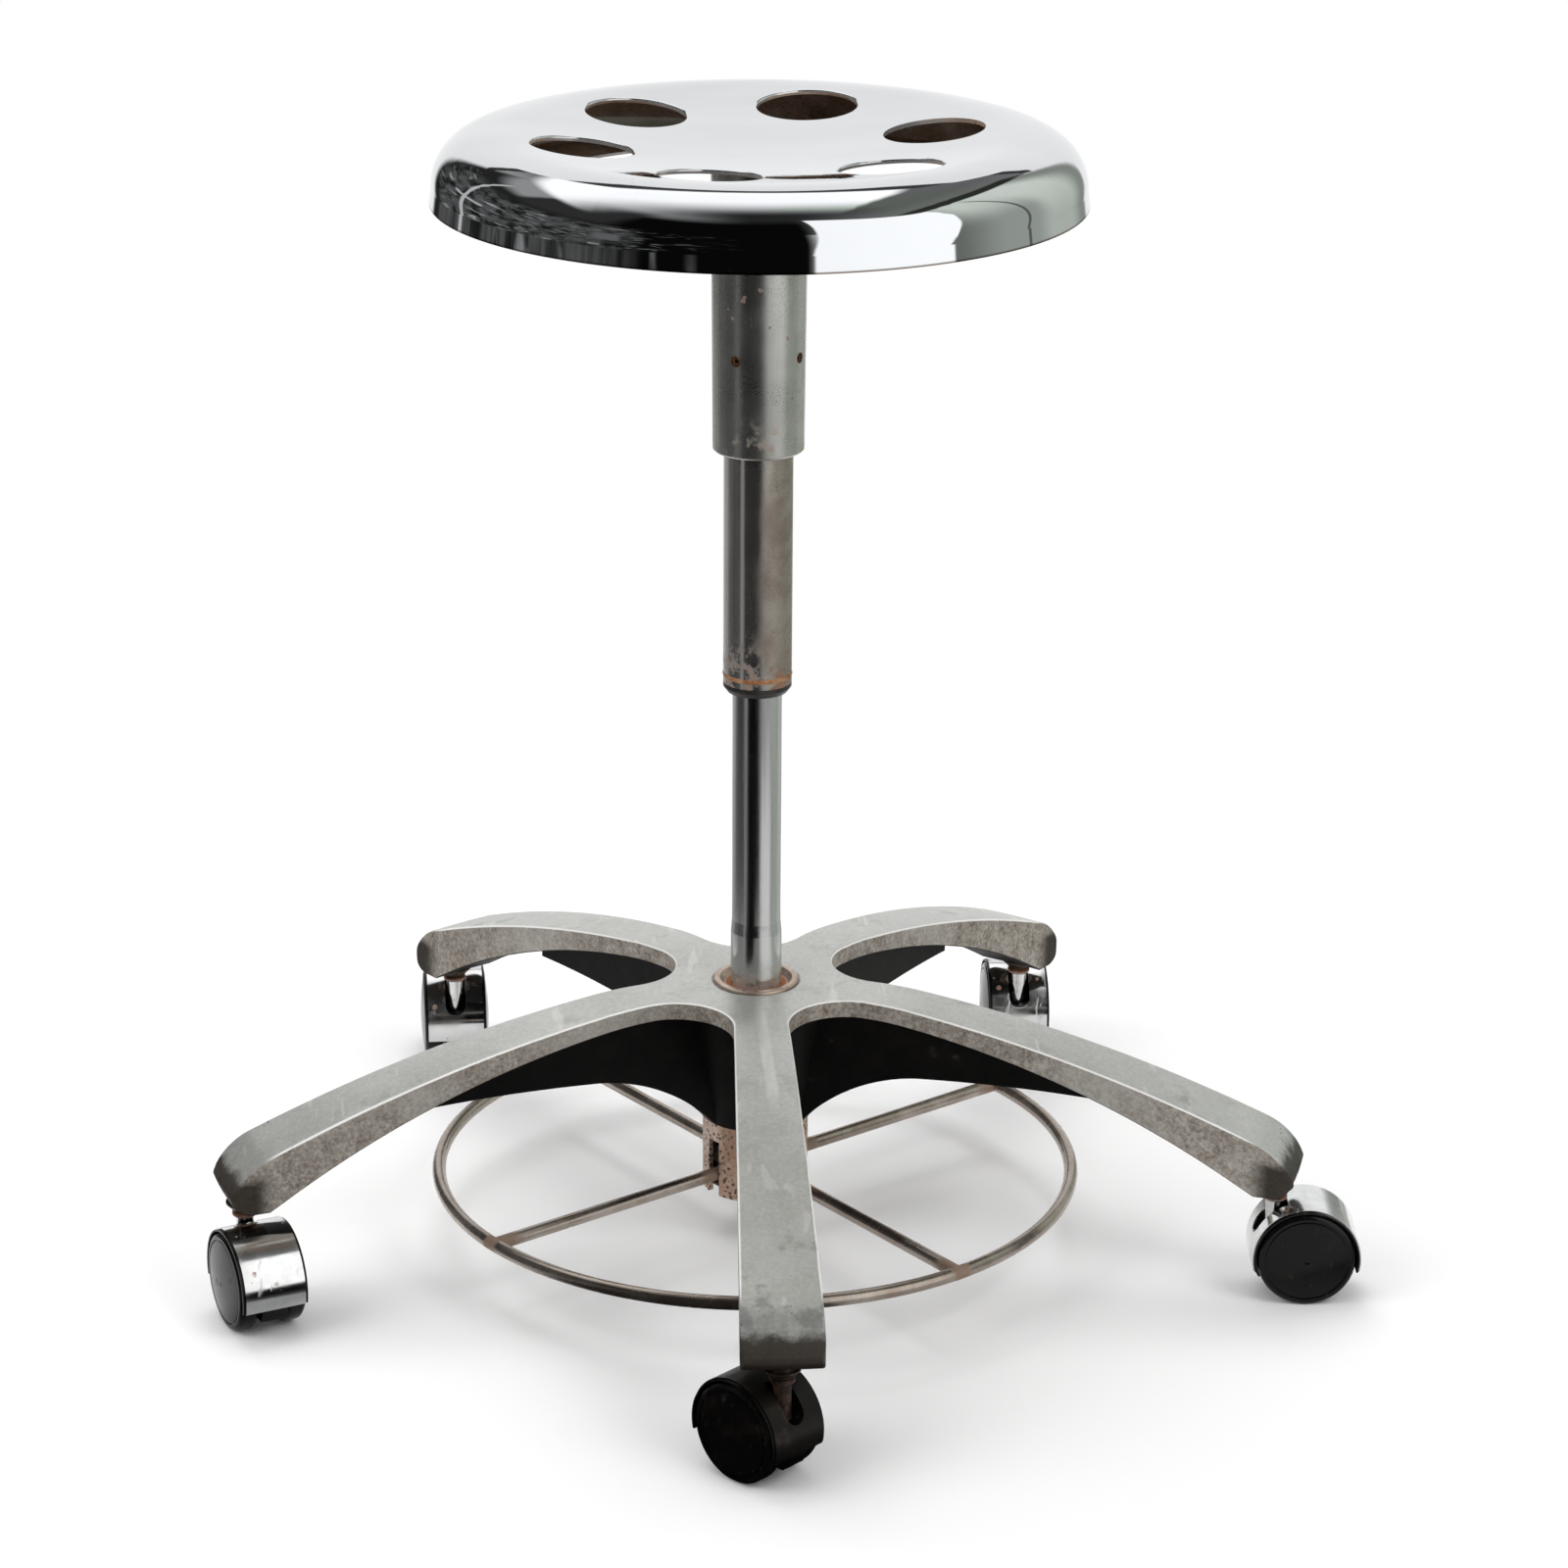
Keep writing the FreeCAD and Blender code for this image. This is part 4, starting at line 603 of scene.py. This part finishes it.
def caster_stem():
    """Bright pin, rust-brown collar above the hood. The front caster's is painted almost black
    as shade.
    """
    t = material("caster_stem")
    x, y, z = t.split(t.place)
    cloud = t.noise(180.0, 4.0, 0.62)
    bright = t.mix(t.span(cloud, 0.4, 0.75), (0.66, 0.66, 0.66), (0.52, 0.50, 0.47))
    rusty = t.ramp(cloud, [(0.35, (0.045, 0.022, 0.014)), (0.55, (0.22, 0.095, 0.050)),
                           (0.75, (0.42, 0.27, 0.19))])
    rust = t.most(t.span(z, *STEM_COLLAR), t.times(t.span(cloud, 0.60, 0.72), 0.6))
    colour = t.mix(rust, bright, rusty)
    # Painted shade: the front caster's stem, in deep shadow, made almost black
    front = t.times(t.span(y, *FRONT_CASTER_Y),
                    t.span(t.math("ABSOLUTE", x), *FRONT_CASTER_X))
    dark = t.mix(t.span(cloud, 0.4, 0.7), (0.014, 0.008, 0.006), (0.075, 0.036, 0.023))
    colour = t.mix(front, colour, dark)
    dull = t.most(rust, front)
    return t.shade(Base_Color=colour, Metallic=t.blend(dull, 1.0, 0.35),
                   Roughness=t.blend(dull, 0.12, 0.55), Normal=t.bump(cloud, 0.0001, 0.4))


def cover_chrome():
    """Plated hoods with scuffs, fine scratches and a few rust points."""
    t = material("cover_chrome")
    cloud = t.noise(50.0, 4.0, 0.6)
    haze = t.span(t.noise(24.0, 4.0, 0.6), 0.42, 0.70)
    colour = t.tones(cloud, (0.66, 0.67, 0.67), (0.78, 0.79, 0.79))
    colour = t.paint(haze, 0.35, colour, (0.56, 0.53, 0.49))
    scratch = t.noise(160.0, 2.0, 0.5, t.stretched((1.0, 0.15, 0.5)), 0.6)
    scratch = t.span(scratch, 0.60, 0.70)
    rust = spots(t, 115.0, 0.16, 0.05, 30.0, (0.47, 0.57))
    colour = t.paint(rust, 0.85, colour, (0.32, 0.12, 0.045))
    dark = spots(t, 260.0, 0.10, 0.04, 36.0, (0.50, 0.62))
    colour = t.paint(dark, 0.7, colour, (0.10, 0.08, 0.07))
    rough = 0.09
    for mask, value in ((haze, 0.28), (scratch, 0.38), (rust, 0.7)):
        rough = t.blend(mask, rough, value)
    return t.shade(Base_Color=colour, Metallic=t.blend(rust, 1.0, 0.2), Roughness=rough,
                   Normal=t.bump(scratch, 0.00005, 0.5))


def cover_dark():
    """The almost black hood of the front caster: rust-dark metal, darkened further by painted
    shade and a painted dark reflection.
    """
    t = material("cover_dark")
    cloud = t.noise(42.0, 5.0, 0.62)
    # Painted shade: near black tones stand in for the hood's plating lying in shadow
    colour = t.ramp(cloud, [(0.36, (0.004, 0.0035, 0.003)), (0.58, (0.013, 0.010, 0.008)),
                            (0.80, (0.070, 0.050, 0.036))])
    warm = spots(t, 60.0, 0.30, 0.16, 26.0, (0.50, 0.66))
    colour = t.paint(warm, 0.35, colour, (0.11, 0.055, 0.032))
    return t.shade(Base_Color=colour, Metallic=0.65,
                   Roughness=t.span(cloud, 0.3, 0.75, 0.42, 0.26),
                   Normal=t.bump(t.noise(220.0), 0.00008, 0.4))


def black_plastic(name, rough_low, rough_high, dust_share, specular):
    """Black moulding with faint dust and scuffs."""
    t = material(name)
    dust = t.noise(70.0, 5.0, 0.66)
    scuff = t.noise(240.0, 3.0, 0.6, t.stretched((1.0, 1.0, 0.4)))
    scuff = t.span(scuff, 0.62, 0.76)
    colour = t.ramp(dust, [(0.48, (0.0022, 0.0020, 0.0019)), (0.70, (0.006, 0.005, 0.0045)),
                           (0.9, (0.05, 0.038, 0.030))])
    colour = t.paint(scuff, dust_share, colour, (0.075, 0.065, 0.058))
    rough = t.blend(scuff, t.drift(dust, rough_low, rough_high), 0.6)
    return t.shade(Base_Color=colour, Roughness=rough, Specular_IOR_Level=specular,
                   Normal=t.bump(t.noise(500.0, 2.0), 0.00004, 0.4))


LOOKS = {
    "seat_chrome": seat_chrome(),
    "raw_steel": raw_steel(),
    "socket_steel": socket_steel(),
    "rusty_screw": rusty_screw(),
    "worn_chrome": worn_chrome(),
    "rusty_ring": rusty_ring(),
    "bush_black": bush_black(),
    "bright_steel": plain_metal(
        "bright_steel", (0.55, 0.55, 0.55), (0.68, 0.68, 0.68), 0.20),
    "aluminium_grey": plain_metal(
        "aluminium_grey", (0.50, 0.51, 0.52), (0.64, 0.65, 0.66), 0.30),
    "tube_chrome": tube_chrome(),
    "brass_valve": plain_metal(
        "brass_valve", (0.50, 0.36, 0.16), (0.66, 0.50, 0.25), 0.28),
    "cast_aluminium": cast_aluminium(),
    "collar_steel": collar_steel(),
    "sleeve_steel": sleeve_steel(),
    "dark_steel": plain_metal(
        "dark_steel", (0.045, 0.034, 0.026), (0.15, 0.115, 0.09), 0.45,
        metallic=0.8, scale=130.0),
    "ring_steel": ring_material("ring_steel", is_ring=True),
    "spoke_steel": ring_material("spoke_steel", is_ring=False),
    "caster_stem": caster_stem(),
    "cover_chrome": cover_chrome(),
    "cover_dark": cover_dark(),
    "caster_plastic": black_plastic(
        "caster_plastic", rough_low=0.24, rough_high=0.38, dust_share=0.4, specular=0.22),
    "wheel_plastic": black_plastic(
        "wheel_plastic", rough_low=0.12, rough_high=0.20, dust_share=0.16, specular=0.22),
}


def dress():
    """Give each node of the part the look of its material slot."""
    for row in frame["record"]["subparts"]:
        item = nodes[row["node"]]
        look = LOOKS[row["material_slot"]]
        if not item.data.materials:
            item.data.materials.append(look)
        for index in range(len(item.data.materials)):
            item.data.materials[index] = look


dress()


# Studio: a pale floor, a white background, and panels that only the metal mirrors

WHITE = (1.0, 1.0, 1.0)
FLOOR_RADIUS = 0.80
FLOOR_FADE = (0.52, 0.78)
FLOOR_COLOUR = (0.965, 0.965, 0.965)
WORLD_LIGHT = 0.56

PANEL_RADIUS = 6.0
PANEL_CENTRE = (0.0, 0.0, 0.65)
PANEL_GREEN = (0.93, 1.0, 0.91)
# Some panels lie just above the floor, and count as so many degrees below level. They leave
# it free within a distance from the column, behind a line in front of it
FLOOR_PANEL_LIFT = 0.0015
FLOOR_PANEL_HIGH = -15.0
FLOOR_FREE_REACH = (0.46, 0.40)
FLOOR_FREE_Y = (-0.16, -0.10)

# Name, place, aim, side length and watts of each square lamp
LAMPS = (
    ("key", (1.6, -1.6, 2.2), (0.0, 0.0, 0.3), 1.2, 22.0),
    ("fill", (-2.2, -1.0, 1.9), (0.0, 0.0, 0.2), 1.8, 26.0),
    ("top", (-0.3, 0.8, 2.6), (0.0, 0.0, 0.2), 1.8, 30.0),
)

# The photograph's view, solved from the part's own outlines. Angles in degrees, lens in mm
CAMERA_PLACE = (-0.1109, -2.3296, 1.1207)
CAMERA_AZIMUTH, CAMERA_PITCH, CAMERA_ROLL = 3.102, -19.904, 0.404
CAMERA_LENS, CAMERA_SENSOR = 100.66, 36.0
CAMERA_CLIP = (0.05, 50.0)


def stage_mesh(name, look):
    item = bpy.context.object
    item.name = name
    item.data.materials.append(look)
    return item


def add_disc(height):
    """A disc as large as the floor."""
    bpy.ops.mesh.primitive_circle_add(
        vertices=96, radius=FLOOR_RADIUS, fill_type="NGON", location=(0.0, 0.0, height))


def seen_directly(t):
    """1 for the camera and for what mirrors and glass show."""
    path = t.add("ShaderNodeLightPath").outputs
    return t.most(t.most(path["Is Camera Ray"], path["Is Glossy Ray"]),
                  path["Is Transmission Ray"])


def make_floor():
    """Matt pale floor that fades into the white background before its edge."""
    t = material("studio_floor")
    diffuse = t.add("ShaderNodeBsdfDiffuse")
    t.feed(diffuse.inputs["Color"], FLOOR_COLOUR)
    fade = t.span(t.vector("LENGTH", t.place), *FLOOR_FADE)
    look = t.show_both(t.times(fade, seen_directly(t)), diffuse, t.glow(WHITE, 1.0))
    add_disc(0.0)
    stage_mesh("studio_floor", look)


def make_world():
    """White behind everything, and an even light on what it falls on."""
    world = bpy.data.worlds.new("studio")
    bpy.context.scene.world = world
    t = Tree(world)
    white = t.add("ShaderNodeBackground")
    t.feed(white.inputs["Color"], WHITE)
    t.feed(white.inputs["Strength"], t.blend(seen_directly(t), WORLD_LIGHT, 1.0))
    t.show(white, "ShaderNodeOutputWorld")


class Panels:
    """Brightness and cover of the black and white panels around the stool.

    Turn is in degrees from the front towards the right, high in degrees above level. Across
    and along are where a direction meets a ceiling one unit up, to the right and the back.
    Each panel lies over those before it.
    """

    def __init__(self, t, turn, high, direction):
        x, y, z = direction
        rise = t.most(z, 0.02)
        self.t, self.turn, self.high, self.z = t, turn, high, z
        self.across = t.math("DIVIDE", x, rise)
        self.along = t.math("DIVIDE", y, rise)
        self.over = t.span(z, 0.30, 0.50)
        self.level, self.cover = 0.0, 0.0
        self.lay_ceiling()
        self.lay_right_wall()
        self.lay_left_room()
        self.lay_bright_things()
        self.lay_soft_boxes()

    def lay(self, share, level):
        """Lay a panel of a brightness over what is there."""
        self.level = self.t.blend(share, self.level, level)
        self.cover = self.t.most(self.cover, share)

    def turned(self, low, high, soft):
        """1 in a range of turns."""
        return band(self.t, self.turn, low, high, soft)

    def raised(self, low, high, soft):
        """1 in a range of heights."""
        return band(self.t, self.high, low, high, soft)

    def haze(self, scale, detail, roughness, turn_rate, high_rate, layer):
        """Soft noise over turn and height."""
        t = self.t
        place = t.join(t.times(self.turn, turn_rate), t.times(self.high, high_rate), layer)
        return t.noise(scale, detail, roughness, place)

    def lay_ceiling(self):
        """Dark strip round the back, and a dark ceiling, lighter to the left and right."""
        t = self.t
        back = t.span(t.math("ABSOLUTE", self.turn), 148.0, 152.0)
        self.lay(t.times(self.raised(28.0, 31.0, 0.4), back), 0.05)
        ceiling = t.plus(t.span(self.across, -0.05, -0.62, 0.0, 0.34),
                         t.span(self.across, 0.08, 0.70, 0.025, 0.20))
        ceiling = t.blend(t.span(self.along, -0.10, 0.20), ceiling, t.most(ceiling, 0.16))
        self.lay(t.span(self.high, 30.2, 31.0), ceiling)

    def lay_right_wall(self):
        """Grey wall with a dark top edge and a thin dark joint."""
        t, turn, high = self.t, self.turn, self.high
        side = self.turned(62.0, 150.0, 2.5)
        top_edge = t.times(side, t.span(self.across, 0.66, 0.70))
        self.lay(t.times(top_edge, self.over), 0.035)
        wall = t.times(side, t.most(t.span(self.across, 0.80, 0.84),
                                    t.span(self.z, 0.30, 0.20)))
        level = t.times(t.span(turn, 66.0, 92.0, 0.19, 0.42),
                        t.span(high, 12.0, 44.0, 1.0, 1.9))
        level = t.blend(t.span(turn, 106.0, 118.0), level,
                        t.span(high, -12.0, 34.0, 0.55, 0.86, "LINEAR"))
        level = t.blend(t.span(turn, 132.0, 146.0), level, 0.30)
        self.lay(wall, level)
        joint = t.apart(turn, t.plus(102.0, t.times(high, 0.05)))
        self.lay(t.times(t.span(joint, 1.1, 0.5), self.raised(-30.0, 48.0, 2.0)), 0.14)

    def lay_left_room(self):
        """Dark room in front and to the left, with a pale floor at the back and clutter."""
        t, turn, high = self.t, self.turn, self.high
        # The wall at the back left, the black front, and a lighter patch high on the left
        self.lay(t.times(self.turned(-156.0, -104.0, 3.0), t.span(high, 40.0, 33.0)), 0.022)
        self.lay(t.times(self.turned(-112.0, 17.0, 4.0), t.span(high, 66.0, 52.0)), 0.003)
        self.lay(t.times(self.turned(-112.0, -60.0, 6.0), self.raised(30.0, 60.0, 6.0)), 0.035)
        # Uneven dark greys in the room's depth
        room = self.haze(2.6, 3.0, 0.6, 0.05, 0.06, 7.0)
        self.lay(t.times(self.turned(-150.0, -48.0, 7.0), self.raised(-40.0, 27.0, 5.0)),
                 t.span(room, 0.36, 0.62, 0.012, 0.110))
        # Floor, paler towards the back
        self.lay(t.times(self.turned(-172.0, -104.0, 6.0), t.span(high, -12.0, -16.0)),
                 t.span(turn, -168.0, -110.0, 0.70, 0.12, "LINEAR"))
        # Clutter at the height of the eye, fainter towards the front
        cloud = self.haze(3.2, 2.0, 0.5, 0.030, 0.085, 0.0)
        thin = self.haze(4.0, 2.0, 0.6, 0.022, 0.16, 3.0)
        clutter = t.times(t.span(cloud, 0.52, 0.60), t.span(thin, 0.44, 0.52))
        clutter = t.times(clutter, t.times(self.turned(-150.0, -12.0, 5.0),
                                           self.raised(-11.0, 26.0, 3.0)))
        self.lay(clutter, t.times(t.span(thin, 0.46, 0.66, 0.05, 0.42),
                                  t.span(turn, -22.0, -66.0, 0.14, 1.0)))

    def lay_bright_things(self):
        """A leaning pole and four small bright things in the room."""
        t, high = self.t, self.high
        lean = t.times(t.most(t.minus(high, 12.0), 0.0), -0.22)
        pole = t.apart(self.turn, t.plus(-126.0, lean))
        self.lay(t.times(t.span(pole, 1.5, 0.9), self.raised(-30.0, 38.0, 2.0)), 0.62)
        self.lay(t.times(self.turned(-61.0, -51.0, 1.5), self.raised(3.5, 14.0, 1.5)), 0.15)
        self.lay(t.times(self.turned(-134.0, -113.0, 1.5), self.raised(6.4, 8.2, 0.6)), 0.60)
        self.lay(t.times(self.turned(-62.0, -51.0, 2.0), t.span(high, -12.5, -14.5)), 0.34)
        self.lay(t.times(self.turned(-107.0, -93.0, 2.0), self.raised(-14.0, -12.6, 0.5)), 0.40)

    def lay_soft_boxes(self):
        """Dull floor on the right, the tall soft box above it, and the one overhead."""
        t, turn, high = self.t, self.turn, self.high
        self.lay(t.times(self.turned(6.0, 86.0, 3.0), t.span(high, -13.0, -17.0)),
                 t.span(turn, 8.0, 90.0, 0.14, 0.50, "LINEAR"))
        left_edge = t.minus(turn, t.span(high, -14.0, 60.0, 14.6, 20.5, "LINEAR"))
        right_edge = t.minus(t.span(high, -14.0, 46.0, 64.5, 79.0), turn)
        top_edge = t.minus(t.span(turn, 20.0, 80.0, 62.0, 50.0), high)
        tall = t.times(t.span(left_edge, -0.7, 0.7), t.span(right_edge, -0.7, 0.7))
        tall = t.times(tall, t.times(t.span(top_edge, -1.0, 1.0), t.span(high, -16.0, -13.0)))
        self.lay(tall, 1.4)
        slant = t.plus(self.across, t.times(t.minus(1.87, self.along), 0.41))
        box = t.times(t.span(slant, -0.24, -0.10), t.span(self.across, 0.33, 0.28))
        box = t.times(box, t.times(t.span(self.along, -0.25, 0.55),
                                   t.span(self.along, 1.66, 1.62)))
        self.lay(t.times(box, self.over), 1.45)


def panel_material(name, on_floor):
    """Panels on the sphere round the stool, or laid flat on the floor."""
    t = material(name)
    x, y, z = t.split(t.vector("NORMALIZE", t.place))
    turn = t.math("DEGREES", t.math("ARCTAN2", x, t.times(y, -1.0)))
    high = FLOOR_PANEL_HIGH if on_floor else t.math("DEGREES", t.math("ARCSINE", z))
    panels = Panels(t, turn, high, (x, y, z))
    cover = panels.cover
    if on_floor:
        front = t.span(t.split(t.place)[1], *FLOOR_FREE_Y)
        free = t.times(t.span(t.vector("LENGTH", t.place), *FLOOR_FREE_REACH), front)
        cover = t.times(cover, t.minus(1.0, free))
    greenish = t.times(panels.turned(66.0, 150.0, 4.0), t.span(panels.level, 1.0, 0.8))
    glow = t.glow(t.mix(greenish, WHITE, PANEL_GREEN), panels.level)
    return t.show_both(cover, t.add("ShaderNodeBsdfTransparent"), glow)


def only_in_metal(item):
    """Panels stand outside the picture and light nothing: only mirrors show them."""
    item.visible_camera = False
    item.visible_diffuse = False
    item.visible_transmission = False
    item.visible_shadow = False
    item.visible_volume_scatter = False


def make_panels():
    """The sphere and the disc that carry the panels."""
    bpy.ops.mesh.primitive_uv_sphere_add(
        segments=48, ring_count=24, radius=PANEL_RADIUS, location=PANEL_CENTRE)
    only_in_metal(stage_mesh("studio_panels", panel_material("studio_panels", False)))
    add_disc(FLOOR_PANEL_LIFT)
    only_in_metal(stage_mesh("studio_floor_panels",
                             panel_material("studio_floor_panels", True)))


def make_lamp(name, place, aim, size, power):
    """A square area lamp that neither the camera nor the metal shows."""
    data = bpy.data.lights.new(name, "AREA")
    data.size = size
    data.energy = power
    lamp = bpy.data.objects.new(name, data)
    bpy.context.scene.collection.objects.link(lamp)
    lamp.location = place
    lamp.rotation_mode = "QUATERNION"
    lamp.rotation_quaternion = (Vector(aim) - Vector(place)).to_track_quat("-Z", "Y")
    lamp.visible_glossy = False
    lamp.visible_camera = False


def make_camera():
    """The photograph's camera, turned by its azimuth, pitch and roll."""
    azimuth, pitch, roll = (math.radians(angle) for angle in (
        CAMERA_AZIMUTH, CAMERA_PITCH, CAMERA_ROLL))
    ahead = Vector((math.sin(azimuth) * math.cos(pitch), math.cos(azimuth) * math.cos(pitch),
                    math.sin(pitch)))
    level = Vector((math.cos(azimuth), -math.sin(azimuth), 0.0))
    above = level.cross(ahead)
    right = level * math.cos(roll) + above * math.sin(roll)
    up = above * math.cos(roll) - level * math.sin(roll)
    data = bpy.data.cameras.new("camera")
    data.sensor_width = CAMERA_SENSOR
    data.lens = CAMERA_LENS
    data.clip_start, data.clip_end = CAMERA_CLIP
    camera = bpy.data.objects.new("camera", data)
    bpy.context.scene.collection.objects.link(camera)
    turned = Matrix((right, up, -ahead)).transposed().to_4x4()
    turned.translation = Vector(CAMERA_PLACE)
    camera.matrix_world = turned
    bpy.context.scene.camera = camera


make_floor()
make_world()
make_panels()
for lamp in LAMPS:
    make_lamp(*lamp)
make_camera()
bpy.context.scene.view_settings.view_transform = "Standard"
